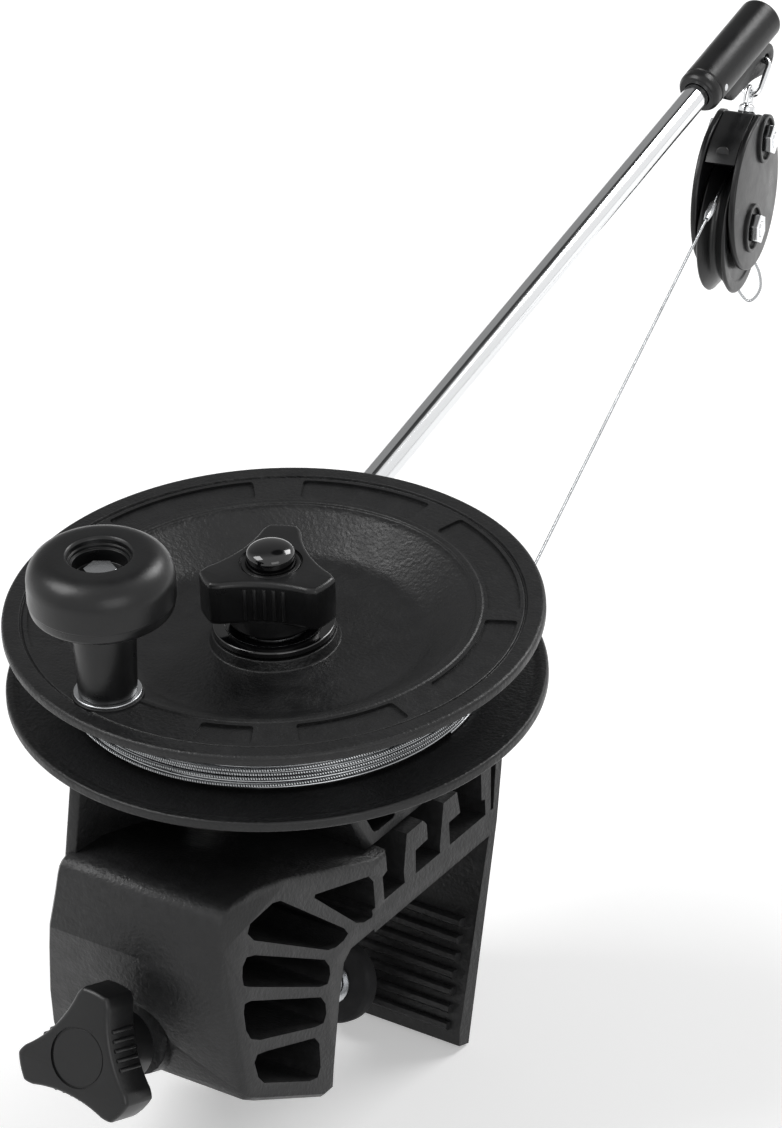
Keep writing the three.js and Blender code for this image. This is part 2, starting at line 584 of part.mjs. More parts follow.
function buildClamp() {
  piece(model, "clamp_body", clampBody(), MOULDED);
  const [entryY, entryZ] = byOpening([SCREW_ENTRY_SHARES])[0];
  const group = frame(model, 0, entryY, entryZ, 0, -SCREW_TILT);
  const padBack = PAD_FACE - PAD_THICKNESS;
  const neckStart = padBack - PAD_CLIP_THICKNESS - 2 * FIT;
  const screwEnd = PAD_FACE - SCREW_NECK_LENGTH + WEB_THICKNESS / 2;
  const collarBack = COLLAR_START - COLLAR_WIDTH;
  const hubFace = collarBack - FIT;
  const armBack = hubFace - CLAMP_HUB_LENGTH;
  const knobFace = armBack - KNOB_DEPTH;
  const screwStart = knobFace + COLLAR_WIDTH * 2;

  const screw = turned([
    [0, screwStart], [SCREW_RADIUS, screwStart], [SCREW_RADIUS, neckStart], [SCREW_NECK_RADIUS, neckStart],
    [SCREW_NECK_RADIUS, screwEnd], [0, screwEnd],
  ], 20);
  piece(group, "clamp_screw", alongY(screw), STEEL);

  const nut = ring(SCREW_RADIUS + RUN, NUT_RADIUS, BOSS_END - NUT_LENGTH, BOSS_END);
  piece(group, "clamp_nut", alongY(nut), BRASS);

  const collar = ring(SCREW_RADIUS + RUN, COLLAR_RADIUS, collarBack, COLLAR_START, 24);
  piece(group, "clamp_knob_collar", alongY(collar), BRIGHT_STEEL);

  const star = starKnob(CLAMP_KNOB_TURN, knobFace);
  const hub = rod(KNOB_HUB_RADIUS, armBack - KNOB_EDGE, hubFace, 24);
  const disc = rod(KNOB_DISC_RADIUS, knobFace - OVERRUN, knobFace + KNOB_DISC_DEPTH, 24);
  const bore = rod(SCREW_RADIUS + RUN, screwStart - FIT, hubFace + OVERRUN);
  piece(group, "clamp_knob", alongY(cut(join(star, hub), disc, bore)), SMOOTH_BLACK);

  const pad = turned([
    [0, screwEnd + FIT], [SCREW_NECK_RADIUS + FIT, screwEnd + FIT], [SCREW_NECK_RADIUS + FIT, padBack],
    [PAD_RADIUS - PAD_EDGE, padBack], [PAD_RADIUS, padBack + PAD_EDGE], [PAD_RADIUS, PAD_FACE - PAD_EDGE],
    [PAD_RADIUS - PAD_EDGE, PAD_FACE], [0, PAD_FACE],
  ], 24);
  piece(group, "clamp_pad", alongY(pad), RUBBER);
  const clipTop = padBack - RUN;
  const clip = ring(SCREW_NECK_RADIUS + FIT, PAD_CLIP_RADIUS, clipTop - PAD_CLIP_THICKNESS, clipTop);
  piece(group, "clamp_pad_clip", alongY(clip), STEEL);
}

// Base frame that hooks onto the clamp and carries the spindle and the boom
function towerOutline([frontShare, rearShare, lowShare, highShare]) {
  const corner = (depthShare, heightShare) => {
    const front = -TOWER_FOOT_FRONT - (TOWER_TOP_FRONT - TOWER_FOOT_FRONT) * heightShare;
    const rear = TOWER_FOOT_REAR + (TOWER_TOP_REAR - TOWER_FOOT_REAR) * heightShare;
    return [front + (rear - front) * depthShare, HOOK_TOP + TOWER_HEIGHT * heightShare];
  };
  return [
    corner(frontShare, lowShare), corner(rearShare, lowShare),
    corner(rearShare, highShare), corner(frontShare, highShare),
  ];
}

// Moves a solid of the boom's frame into the model's frame
function onBoom(geometry) {
  return geometry
    .rotateX(BOOM_PITCH)
    .rotateZ(BOOM_YAW)
    .translate(...BOOM_PLACE);
}

function baseFrame() {
  const tower = prism(towerOutline([0, 1, 0, 1]), -TOWER_LEFT, TOWER_RIGHT, TOWER_EDGE);
  const rails = [FRONT_RAIL_SHARES, REAR_RAIL_SHARES].map((shares) =>
    prism(byOpening(shares), -RAIL_LENGTH / 2, RAIL_LENGTH / 2),
  );
  const lockBoss = onBoom(
    alongX(rod(LOCK_BOSS_RADIUS, -LOCK_BOSS_REACH, -BOOM_RADIUS - FIT)).translate(0, LOCK_SCREW_PLACE, 0),
  );
  const cell = (shares, low, high) => prism(softened(towerOutline(shares), POCKET_CORNER), low, high);
  const cells = [
    ...TOWER_CELL_SHARES.map((shares) =>
      cell(shares, TOWER_RIGHT - TOWER_POCKET_DEPTH, TOWER_RIGHT + OVERRUN)),
    ...LEFT_CELL_SHARES.map((shares) =>
      cell(shares, -TOWER_LEFT - OVERRUN, TOWER_POCKET_DEPTH - TOWER_LEFT)),
  ];
  const socketEnd = SPOOL_SETBACK + TOWER_FOOT_REAR + OVERRUN;
  const socket = onBoom(alongY(rod(BOOM_RADIUS + FIT, -SOCKET_DEPTH - FIT, socketEnd)));
  const lockBore = onBoom(
    alongX(rod(LOCK_SCREW_RADIUS + RUN, -LOCK_BOSS_REACH - OVERRUN, 0)).translate(0, LOCK_SCREW_PLACE, 0),
  );
  const spindleBore = rod(SPINDLE_RADIUS + FIT, TOWER_TOP - SPINDLE_ROOT - FIT, TOWER_TOP + OVERRUN);
  spindleBore.translate(0, -SPOOL_SETBACK, 0);
  const screwBores = baseScrewPlaces().map(([x, y]) =>
    rod(BASE_SCREW_RADIUS + RUN, 0, HOOK_TOP + BASE_SCREW_HEAD, 12).translate(x, y, 0),
  );
  return cut(join(tower, ...rails, lockBoss), ...cells, socket, lockBore, spindleBore, ...screwBores);
}

function buildBase() {
  piece(model, "base_frame", baseFrame(), MOULDED);
  baseScrewPlaces().forEach(([x, y], i) => {
    const head = rod(BASE_SCREW_HEAD_RADIUS, FIT, FIT + BASE_SCREW_HEAD, 12);
    const shank = rod(BASE_SCREW_RADIUS, BASE_SCREW_HEAD, HOOK_TOP + BASE_SCREW_HEAD - FIT, 10);
    piece(model, `base_screw_${i + 1}`, join(head, shank).translate(x, y, 0), STEEL);
  });
}

// Boom with its end cap
function buildBoom() {
  const group = frame(
    model, ...BOOM_PLACE, BOOM_YAW, BOOM_PITCH,
  );
  const pinBore = () =>
    alongX(rod(CAP_PIN_RADIUS + RUN, -BOOM_CAP_RADIUS - OVERRUN, BOOM_CAP_RADIUS + OVERRUN, 12))
      .translate(0, CAP_START + CAP_PIN_PLACE, 0);
  const rodBody = alongY(rod(BOOM_RADIUS, -SOCKET_DEPTH, BOOM_REACH));
  piece(group, "boom", cut(rodBody, pinBore()), BRIGHT_STEEL);

  const capEnd = CAP_START + CAP_LENGTH;
  const boreEnd = BOOM_REACH + FIT;
  const bore = BOOM_RADIUS + FIT;
  const inset = BOOM_CAP_EDGE * 0.3;
  const sleeve = alongY(turned([
    [0, boreEnd], [bore, boreEnd], [bore, CAP_START], [BOOM_CAP_RADIUS - inset * 2, CAP_START],
    [BOOM_CAP_RADIUS, CAP_START + inset * 2], [BOOM_CAP_RADIUS, capEnd - BOOM_CAP_EDGE],
    [BOOM_CAP_RADIUS - inset, capEnd - inset], [BOOM_CAP_RADIUS - BOOM_CAP_EDGE, capEnd], [0, capEnd],
  ], 20));
  const holeY = CAP_START + LUG_REACH;
  const lug = prism([
    [CAP_START + CAP_LENGTH * 0.3, -bore - RUN],
    ...LUG_FOOT_SHARES.map(([along, down]) => [CAP_START + CAP_LENGTH * along, -LUG_DROP * down]),
    ...arcPoints(holeY, -LUG_DROP, LUG_ROUND, -Math.PI * 0.6, Math.PI * 0.3, 6),
    [capEnd - BOOM_CAP_EDGE, -BOOM_CAP_EDGE], [boreEnd + FIT, -BOOM_CAP_EDGE], [boreEnd + FIT, -bore - RUN],
  ], -LUG_THICKNESS / 2, LUG_THICKNESS / 2);
  const hole = alongX(rod(LUG_HOLE_RADIUS, -LUG_THICKNESS, LUG_THICKNESS, 16)).translate(0, holeY, -LUG_DROP);
  piece(group, "boom_end_cap", cut(join(sleeve, lug), hole, pinBore()), SMOOTH_BLACK);
  const pin = alongX(rod(CAP_PIN_RADIUS, -BOOM_CAP_RADIUS, BOOM_CAP_RADIUS, 12));
  piece(group, "cap_pin", pin.translate(0, CAP_START + CAP_PIN_PLACE, 0), STEEL);

  const headSeat = -LOCK_BOSS_REACH - FIT;
  const shank = rod(LOCK_SCREW_RADIUS, headSeat - LOCK_SCREW_HEAD / 2, -BOOM_RADIUS - FIT);
  const head = rod(LOCK_SCREW_HEAD_RADIUS, headSeat - LOCK_SCREW_HEAD, headSeat, 6);
  piece(group, "boom_lock_screw", alongX(join(shank, head)).translate(0, LOCK_SCREW_PLACE, 0), STEEL);
  return group;
}

// Spool
function spoolLower() {
  const hubBore = BUSHING_RADIUS + RUN;
  const wall = DRUM_RADIUS - DRUM_WALL;
  const webTop = LOWER_RECESS + FLOOR_THICKNESS;
  const rimIn = SPOOL_RADIUS - RIM_BAND;
  const bevel = FLANGE_THICKNESS - PLATE_TOP;
  const body = turned([
    [hubBore, 0], [SPOOL_HUB_RADIUS, 0], [SPOOL_HUB_RADIUS + LOWER_RECESS, LOWER_RECESS],
    [wall, LOWER_RECESS], [DRUM_RADIUS, FLANGE_RELIEF], [rimIn - FLANGE_RELIEF, FLANGE_RELIEF], [rimIn, 0],
    [SPOOL_RADIUS - RIM_CHAMFER, 0], [SPOOL_RADIUS, RIM_CHAMFER],
    [SPOOL_RADIUS, FLANGE_THICKNESS - RIM_CHAMFER],
    [SPOOL_RADIUS - RIM_CHAMFER, FLANGE_THICKNESS], [rimIn + bevel, FLANGE_THICKNESS],
    [rimIn - bevel, PLATE_TOP], [wall - FIT, PLATE_TOP], [wall - FIT, webTop],
    [SPOOL_HUB_RADIUS, webTop], [SPOOL_HUB_RADIUS, SPOOL_SPLIT], [hubBore, SPOOL_SPLIT],
  ], SPOOL_FACETS);
  const postTop = DISH_FLOOR - FLOOR_THICKNESS - RUN;
  const posts = spoolScrewPlaces().map(([x, y]) =>
    rod(SPOOL_POST_RADIUS, webTop - RING_STEP, postTop, 16).translate(x, y, 0));
  return cut(join(body, ...posts), ...spoolScrewPlaces().map(([x, y]) =>
    rod(SPOOL_SCREW_RADIUS + RUN, 0, postTop + OVERRUN, 12).translate(x, y, 0)));
}

function spoolScrewPlaces() {
  return Array.from({ length: SPOOL_SCREW_COUNT }, (_, i) => {
    const angle = Math.PI / 2 + (2 * Math.PI * i) / SPOOL_SCREW_COUNT;
    return [SPOOL_SCREW_PLACE * Math.cos(angle), SPOOL_SCREW_PLACE * Math.sin(angle)];
  });
}

// The screws end in the dish floor of the upper flange
const spoolScrewTop = () => DISH_FLOOR - FLOOR_THICKNESS / 2;

function wellCutters() {
  return WELL_ANGLES.map(([from, to]) => {
    const [start, end] = [THREE.MathUtils.degToRad(from), THREE.MathUtils.degToRad(to)];
    const steps = Math.ceil((SPOOL_FACETS * (end - start)) / (2 * Math.PI));
    const outline = [
      ...arcPoints(0, 0, onFlange(WELL_OUTER_SHARE), start, end, steps),
      ...arcPoints(0, 0, onFlange(WELL_INNER_SHARE), end, start, steps),
    ];
    return plate(outline, SPOOL_HEIGHT - RING_STEP - WELL_DEPTH, SPOOL_HEIGHT + OVERRUN);
  });
}

function crankSeat() {
  const foot = DISH_FLOOR - FLOOR_THICKNESS / 2;
  const top = SPOOL_HEIGHT + CRANK_SEAT_PROUD;
  const seat = rod(CRANK_SEAT_RADIUS, foot, top, 28).translate(CRANK_X, CRANK_Y, 0);
  const inside = DRUM_RADIUS - DRUM_WALL - FIT;
  const step = UPPER_FLANGE_FOOT + RING_STEP;
  const envelope = turned([
    [0, foot - OVERRUN], [inside, foot - OVERRUN], [inside, step], [SPOOL_RADIUS, step],
    [SPOOL_RADIUS, top + OVERRUN], [0, top + OVERRUN],
  ], SPOOL_FACETS);
  return common(seat, envelope);
}

function spoolUpper() {
  const hubBore = BUSHING_RADIUS + RUN;
  const wall = DRUM_RADIUS - DRUM_WALL;
  const floorFoot = DISH_FLOOR - FLOOR_THICKNESS;
  const dishRise = SPOOL_HEIGHT - DISH_FLOOR;
  const lip = DRUM_RADIUS - LIP_WIDTH;
  const field = SPOOL_HEIGHT - RING_STEP;
  const body = turned([
    [hubBore, SPOOL_SPLIT], [SPOOL_HUB_RADIUS, SPOOL_SPLIT], [SPOOL_HUB_RADIUS, floorFoot],
    [DISH_FLOOR_RADIUS, floorFoot], [wall - FLOOR_THICKNESS, UPPER_FLANGE_FOOT - RING_STEP * 3],
    [wall - FIT, UPPER_FLANGE_FOOT - RING_STEP * 3], [wall - FIT, UPPER_FLANGE_FOOT],
    [SPOOL_RADIUS - RIM_CHAMFER, UPPER_FLANGE_FOOT],
    [SPOOL_RADIUS, UPPER_FLANGE_FOOT + RIM_CHAMFER], [SPOOL_RADIUS, SPOOL_HEIGHT - RIM_CHAMFER],
    [SPOOL_RADIUS - RIM_CHAMFER, SPOOL_HEIGHT], [RING_LINE_RADIUS, SPOOL_HEIGHT],
    [RING_LINE_RADIUS - RING_STEP, field], [DRUM_RADIUS + RING_STEP, field], [DRUM_RADIUS, SPOOL_HEIGHT],
    [lip, SPOOL_HEIGHT], [lip - LIP_WIDTH, SPOOL_HEIGHT - dishRise * 0.08],
    [DISH_FLOOR_RADIUS + LIP_WIDTH, DISH_FLOOR + dishRise * 0.08],
    [DISH_FLOOR_RADIUS - LIP_WIDTH, DISH_FLOOR], [SKIRT_RADIUS + LIP_WIDTH, DISH_FLOOR],
    [SKIRT_RADIUS + FIT, SPOOL_BOSS_HEIGHT], [hubBore, SPOOL_BOSS_HEIGHT],
  ], SPOOL_FACETS);
  const screwBores = spoolScrewPlaces().map(([x, y]) =>
    rod(SPOOL_SCREW_RADIUS + RUN, SPOOL_SPLIT - OVERRUN, spoolScrewTop() + FIT, 12).translate(x, y, 0));
  const crankBore = rod(CRANK_BOLT_RADIUS + RUN, UPPER_FLANGE_FOOT - OVERRUN, SPOOL_HEIGHT + OVERRUN);
  crankBore.translate(CRANK_X, CRANK_Y, 0);
  return cut(join(body, crankSeat()), ...wellCutters(), ...screwBores, crankBore);
}

function buildSpool() {
  const group = frame(model, 0, -SPOOL_SETBACK, SPOOL_FOOT);
  piece(group, "spool_lower", spoolLower(), MOULDED);
  piece(group, "spool_upper", spoolUpper(), MOULDED);
  const [drumFoot, drumTop] = [PLATE_TOP + RUN, UPPER_FLANGE_FOOT - RUN];
  const drum = ring(DRUM_RADIUS - DRUM_WALL, DRUM_RADIUS, drumFoot, drumTop, SPOOL_FACETS);
  piece(group, "spool_drum", drum, MOULDED);
  const bushing = ring(SPINDLE_RADIUS + RUN, BUSHING_RADIUS, 0, SPOOL_BOSS_HEIGHT);
  piece(group, "spool_bushing", bushing, BRASS);
  spoolScrewPlaces().forEach(([x, y], i) => {
    const seat = LOWER_RECESS - RUN;
    const head = rod(SPOOL_SCREW_HEAD_RADIUS, seat - SPOOL_SCREW_HEAD, seat, 12);
    const shank = rod(SPOOL_SCREW_RADIUS, seat - SPOOL_SCREW_HEAD / 2, spoolScrewTop(), 10);
    piece(group, `spool_screw_${i + 1}`, join(head, shank).translate(x, y, 0), STEEL);
  });
  buildBrake(group);
  buildCrank(group);
  return group;
}

// Spindle, friction pieces and brake knob
function buildBrake(group) {
  const flangeFoot = -FRICTION_THICKNESS - SPINDLE_FLANGE;
  const rootFoot = flangeFoot - FIT - SPINDLE_ROOT;
  const skirtFoot = SPOOL_BOSS_HEIGHT + FRICTION_THICKNESS;
  const skirtTop = skirtFoot + SKIRT_THICKNESS;
  const shoulder = skirtTop - FIT;
  const capFoot = BRAKE_TOP - CAP_RECESS - CAP_SEAT;
  const threadTop = capFoot - FIT * 2;
  const spindle = turned([
    [0, rootFoot], [SPINDLE_RADIUS, rootFoot], [SPINDLE_RADIUS, flangeFoot],
    [SPINDLE_FLANGE_RADIUS, flangeFoot],
    [SPINDLE_FLANGE_RADIUS, -FRICTION_THICKNESS], [SPINDLE_RADIUS, -FRICTION_THICKNESS],
    [SPINDLE_RADIUS, shoulder], [THREAD_RADIUS, shoulder], [THREAD_RADIUS, threadTop], [0, threadTop],
  ], 20);
  piece(group, "spindle", spindle, STEEL);
  const lining = (low) => ring(SPINDLE_RADIUS + FIT, FRICTION_RADIUS, low, low + FRICTION_THICKNESS);
  piece(group, "friction_disc_lower", lining(-FRICTION_THICKNESS), FRICTION_LINING);
  piece(group, "friction_disc_upper", lining(SPOOL_BOSS_HEIGHT), FRICTION_LINING);
  const skirt = ring(SPINDLE_RADIUS + FIT, SKIRT_RADIUS, skirtFoot, skirtTop, 28);
  piece(group, "pressure_skirt", skirt, GLOSS_BLACK);
  const thrustTop = skirtTop + THRUST_RING_THICKNESS;
  piece(group, "brake_thrust_ring", ring(THREAD_RADIUS + FIT, THRUST_RING_RADIUS, skirtTop, thrustTop), STEEL);

  const star = starKnob(BRAKE_KNOB_TURN, BRAKE_ARMS);
  const hub = rod(BRAKE_HUB_RADIUS, BRAKE_FOOT, BRAKE_ARMS + KNOB_EDGE, 24);
  const nutTop = BRAKE_FOOT + BRAKE_NUT_LENGTH;
  piece(group, "brake_knob", cut(
    join(star, hub),
    rod(BRAKE_NUT_RADIUS + RUN, BRAKE_FOOT - OVERRUN, nutTop + FIT),
    rod(THREAD_RADIUS + FIT, nutTop, BRAKE_TOP),
    rod(CAP_RADIUS + RUN, capFoot, BRAKE_TOP + OVERRUN),
    rod(CAP_RECESS_RADIUS, BRAKE_TOP - CAP_RECESS, BRAKE_TOP + OVERRUN, 24),
  ), SMOOTH_BLACK);
  piece(group, "brake_nut", ring(THREAD_RADIUS + RUN, BRAKE_NUT_RADIUS, BRAKE_FOOT, nutTop), BRASS);
  const dome = arcPoints(0, 0, 1, 0, Math.PI / 2, 5).map(([across, up]) => [
    across * CAP_RADIUS, BRAKE_TOP + CAP_PROUD * (0.4 + 0.6 * up ** 0.8),
  ]);
  dome[dome.length - 1][0] = 0;
  piece(group, "brake_cap", turned([[0, capFoot + FIT], [CAP_RADIUS, capFoot + FIT], ...dome], 20), GLOSS_BLACK);
}

// Crank stem and grip
function buildCrank(spool) {
  const group = frame(spool, CRANK_X, CRANK_Y, 0);
  const seatTop = SPOOL_HEIGHT + CRANK_SEAT_PROUD;
  const bore = CRANK_BOLT_RADIUS + RUN;
  piece(group, "crank_washer", ring(bore, CRANK_WASHER_RADIUS, seatTop, STEM_FOOT), STEEL);
  const stem = turned([
    [bore, STEM_FOOT], [STEM_BOTTOM_RADIUS, STEM_FOOT], [STEM_TOP_RADIUS, STEM_TOP], [bore, STEM_TOP],
  ], 20);
  piece(group, "crank_stem", stem, SMOOTH_BLACK);

  const foot = SPOOL_HEIGHT + GRIP_FOOT;
  const top = foot + GRIP_HEIGHT;
  const webFoot = STEM_TOP + FIT;
  const webTop = webFoot + GRIP_WEB;
  const inset = GRIP_RADIUS - GRIP_SHOULDER;
  const shoulder = arcPoints(inset, top - GRIP_SHOULDER, GRIP_SHOULDER, 0, Math.PI / 2, 5);
  const grip = turned([
    [STEM_TOP_RADIUS + FIT, foot], [GRIP_RADIUS - GRIP_FOOT_EDGE, foot],
    [GRIP_RADIUS - GRIP_FOOT_EDGE / 3, foot + GRIP_FOOT_EDGE / 2], [GRIP_RADIUS, foot + GRIP_FOOT_EDGE * 2],
    ...shoulder, [GRIP_HOLE_RADIUS + GRIP_RIM, top], [GRIP_HOLE_RADIUS, top - GRIP_RIM],
    [GRIP_HOLE_RADIUS, top - GRIP_STEP], [GRIP_STEP_RADIUS, top - GRIP_STEP], [GRIP_STEP_RADIUS, webTop],
    [bore + FIT, webTop], [bore + FIT, webFoot], [STEM_TOP_RADIUS + FIT, webFoot],
  ], 28);
  piece(group, "crank_grip", grip, SMOOTH_BLACK);
  const headFoot = webTop + FIT;
  const head = rod(CRANK_BOLT_HEAD_RADIUS, headFoot, headFoot + CRANK_BOLT_HEAD, 6);
  const shank = rod(CRANK_BOLT_RADIUS, UPPER_FLANGE_FOOT + RING_STEP, headFoot + CRANK_BOLT_HEAD / 2);
  piece(group, "crank_bolt", join(head, shank), STEEL);
}

// Link, swivel and pulley block
function stadium(halfWidth, length) {
  const points = [
    ...arcPoints(0, -halfWidth, halfWidth, 0, Math.PI, 6),
    ...arcPoints(0, halfWidth - length, halfWidth, Math.PI, 2 * Math.PI, 6),
  ].map(([x, z]) => new THREE.Vector3(x, 0, z));
  return new THREE.CatmullRomCurve3(points, true, "chordal");
}

function cheekOutline(inset) {
  const radius = CHEEK_RADIUS - inset;
  const flat = CHEEK_FLAT;
  const rise = BLOCK_TOP - CHEEK_RISE;
  const lean = Math.atan2(rise, flat) - Math.acos(radius / Math.hypot(rise, flat));
  return [
    [flat, BLOCK_TOP], [-flat, BLOCK_TOP],
    ...arcPoints(0, CHEEK_RISE, radius, Math.PI - lean, 2 * Math.PI + lean, 22),
  ];
}

function cheek(side) {
  const outside = CHEEK_INSIDE + CHEEK_THICKNESS;
  const flat = prism(cheekOutline(0), CHEEK_INSIDE, outside, CHEEK_THICKNESS / 4);
  const seats = [0, HEAD_BOLT_RISE].map((z) =>
    alongX(ring(SEAT_RADIUS - SEAT_RIM, SEAT_RADIUS, outside - SEAT_PROUD, outside + SEAT_PROUD, 16))
      .translate(0, 0, z));
  const bores = [[0, AXLE_RADIUS], [HEAD_BOLT_RISE, HEAD_BOLT_RADIUS]].map(([z, radius]) =>
    alongX(rod(radius + RUN, CHEEK_INSIDE - OVERRUN, outside + OVERRUN, 16)).translate(0, 0, z));
  const whole = cut(join(flat, ...seats), ...bores);
  return side > 0 ? whole : whole.rotateZ(Math.PI);
}

function blockSpacer() {
  const half = CHEEK_INSIDE - FIT;
  const outline = cheekOutline(RING_STEP * 3);
  const reach = CHEEK_RADIUS + OVERRUN;
  const body = prism(outline, -half, half, RING_STEP);
  const below = new THREE.BoxGeometry(reach * 2, reach * 2, reach * 2).translate(0, 0, THROAT_ROOF - reach);
  const arch = alongX(rod(SHEAVE_RADIUS + SHEAVE_CLEARANCE, -reach, reach, 32));
  const mark = alongY(rod(MARK_RADIUS, CHEEK_RADIUS / 2, CHEEK_RADIUS * 0.85 + MARK_PROUD, 16));
  mark.rotateZ(Math.PI).translate(0, 0, THROAT_ROOF + MARK_RADIUS * 1.6);
  const bolt = alongX(rod(HEAD_BOLT_RADIUS + RUN, -reach, reach, 16)).translate(0, 0, HEAD_BOLT_RISE);
  const pin = rod(SWIVEL_PIN_RADIUS + RUN, BLOCK_TOP - SWIVEL_SEAT_DEPTH - RUN, BLOCK_TOP + OVERRUN, 16);
  return cut(join(cut(body, below, arch), mark), bolt, pin);
}

function crossBolt(group, name, radius, z) {
  const seat = CHEEK_INSIDE + CHEEK_THICKNESS + RUN;
  const nutEnd = seat + BLOCK_NUT_LENGTH;
  const shank = rod(radius, -seat - BLOCK_NUT_LENGTH / 2, nutEnd + RING_STEP, 16);
  const head = rod(BLOCK_NUT_RADIUS, -nutEnd, -seat, 6);
  piece(group, `${name}_bolt`, alongX(join(shank, head)).translate(0, 0, z), BRIGHT_STEEL);
  const nut = cut(rod(BLOCK_NUT_RADIUS, seat, nutEnd, 6), rod(radius + RUN, 0, nutEnd + OVERRUN, 16));
  piece(group, `${name}_nut`, alongX(nut).translate(0, 0, z), BRIGHT_STEEL);
}

function buildPulley(boom) {
  model.updateMatrixWorld(true);
  const hang = boom.localToWorld(new THREE.Vector3(0, CAP_START + LUG_REACH, -LUG_DROP));
  const link = frame(model, hang.x, hang.y, hang.z, BOOM_YAW, -LINK_LEAN);
  const loop = new THREE.TubeGeometry(stadium(LINK_HALF_WIDTH, LINK_LENGTH), 28, LINK_WIRE_RADIUS, 6, true);
  piece(link, "link_ring", loop, BRIGHT_STEEL);

  model.updateMatrixWorld(true);
  const eye = link.localToWorld(new THREE.Vector3(0, 0, -LINK_LENGTH));
  const swivel = frame(model, eye.x, eye.y, eye.z, BLOCK_YAW, -BLOCK_LEAN);
  const twist = Math.atan(Math.tan(BLOCK_YAW - BOOM_YAW) * Math.cos(BLOCK_LEAN));
  const half = SWIVEL_EYE_THICKNESS / 2;
  const barrelFoot = RUN * 3 - SWIVEL_DROP;
  const eyePlate = alongX(rod(SWIVEL_EYE_RADIUS, -half, half));
  const eyeHole = alongX(rod(SWIVEL_EYE_HOLE, -SWIVEL_EYE_RADIUS, SWIVEL_EYE_RADIUS, 16));
  const barrel = rod(SWIVEL_BARREL_RADIUS, barrelFoot, -SWIVEL_EYE_HOLE - half);
  const pin = rod(SWIVEL_PIN_RADIUS, -SWIVEL_DROP - SWIVEL_SEAT_DEPTH, barrelFoot + RUN, 16);
  piece(swivel, "swivel_barrel", cut(join(eyePlate, barrel, pin), eyeHole).rotateZ(-twist), BRIGHT_STEEL);

  model.updateMatrixWorld(true);
  const axle = swivel.localToWorld(new THREE.Vector3(0, 0, -SWIVEL_DROP - BLOCK_TOP));
  const block = frame(model, axle.x, axle.y, axle.z, BLOCK_YAW, -BLOCK_LEAN);
  piece(block, "block_spacer", blockSpacer(), SMOOTH_BLACK);
  piece(block, "block_cheek_right", cheek(1), SMOOTH_BLACK);
  piece(block, "block_cheek_left", cheek(-1), SMOOTH_BLACK);
  const bushRadius = AXLE_RADIUS + SHEAVE_BUSH_WALL;
  const flank = SHEAVE_HALF_WIDTH;
  const sheave = turned([
    [bushRadius + RUN, -flank], [SHEAVE_RADIUS - RIM_CHAMFER, -flank], [SHEAVE_RADIUS, RIM_CHAMFER - flank],
    [SHEAVE_RADIUS, SHEAVE_RIM_FLAT - flank], [GROOVE_RADIUS + RING_STEP, -GROOVE_HALF_WIDTH],
    [GROOVE_RADIUS, -GROOVE_HALF_WIDTH / 2], [GROOVE_RADIUS, GROOVE_HALF_WIDTH / 2],
    [GROOVE_RADIUS + RING_STEP, GROOVE_HALF_WIDTH], [SHEAVE_RADIUS, flank - SHEAVE_RIM_FLAT],
    [SHEAVE_RADIUS, flank - RIM_CHAMFER], [SHEAVE_RADIUS - RIM_CHAMFER, flank], [bushRadius + RUN, flank],
  ], 28);
  piece(block, "sheave", alongX(sheave), SMOOTH_BLACK);
  const bushReach = CHEEK_INSIDE - FIT;
  piece(block, "sheave_bush", alongX(ring(AXLE_RADIUS + RUN, bushRadius, -bushReach, bushReach)), BRASS);
  crossBolt(block, "axle", AXLE_RADIUS, 0);
  crossBolt(block, "head", HEAD_BOLT_RADIUS, HEAD_BOLT_RISE);
  return axle;
}

// Cable: the outer layer on the drum, the taut run, the stretch over the sheave and the end loop
function wound(points, sides) {
  const vertices = points.flatMap(({ middle, out }) =>
    arcPoints(0, 0, WIRE_RADIUS, 0, 2 * Math.PI, sides).slice(0, sides).flatMap(([outward, up]) =>
      middle.clone().addScaledVector(out, outward).addScaledVector(Z_AXIS, up).toArray()),
  );
  const last = points.length - 1;
  vertices.push(...points[0].middle.toArray(), ...points[last].middle.toArray());
  const faces = [];
  for (let side = 0; side < sides; side += 1) {
    const next = (side + 1) % sides;
    for (let i = 0; i < last; i += 1) {
      const [a, b, c, d] = [i * sides + side, i * sides + next, (i + 1) * sides + next, (i + 1) * sides + side];
      faces.push(a, b, c, a, c, d);
    }
    faces.push(points.length * sides, next, side);
    faces.push(points.length * sides + 1, last * sides + side, last * sides + next);
  }
  const geometry = new THREE.BufferGeometry();
  geometry.setAttribute("position", new THREE.Float32BufferAttribute(vertices, 3));
  geometry.setIndex(faces);
  return toGeometry(toSolid(geometry));
}

function windingPoints(endAngle) {
  const steps = WINDING_TURNS * WINDING_FACETS;
  const points = Array.from({ length: steps + 1 }, (_, i) => {
    const angle = endAngle - (2 * Math.PI * (steps - i)) / WINDING_FACETS;
    const out = new THREE.Vector3(Math.cos(angle), Math.sin(angle), 0);
    const middle = out.clone().multiplyScalar(WINDING_RADIUS);
    middle.z = WINDING_START + (WINDING_PITCH * i) / WINDING_FACETS;
    return { middle, out };
  });
  const straight = (point, side) => {
    const ahead = new THREE.Vector3(-point.out.y, point.out.x, 0).multiplyScalar(side * 2 * WIRE_RADIUS);
    return { middle: point.middle.clone().add(ahead), out: point.out };
  };
  return [straight(points[0], -1), ...points, straight(points.at(-1), 1)];
}

function leastGap(points) {
  let least = Infinity;
  points.forEach(({ middle }, i) => {
    points.slice(i + WINDING_FACETS / 2).forEach((other) => {
      least = Math.min(least, middle.distanceTo(other.middle) - 2 * WIRE_RADIUS);
    });
  });
  return least;
}

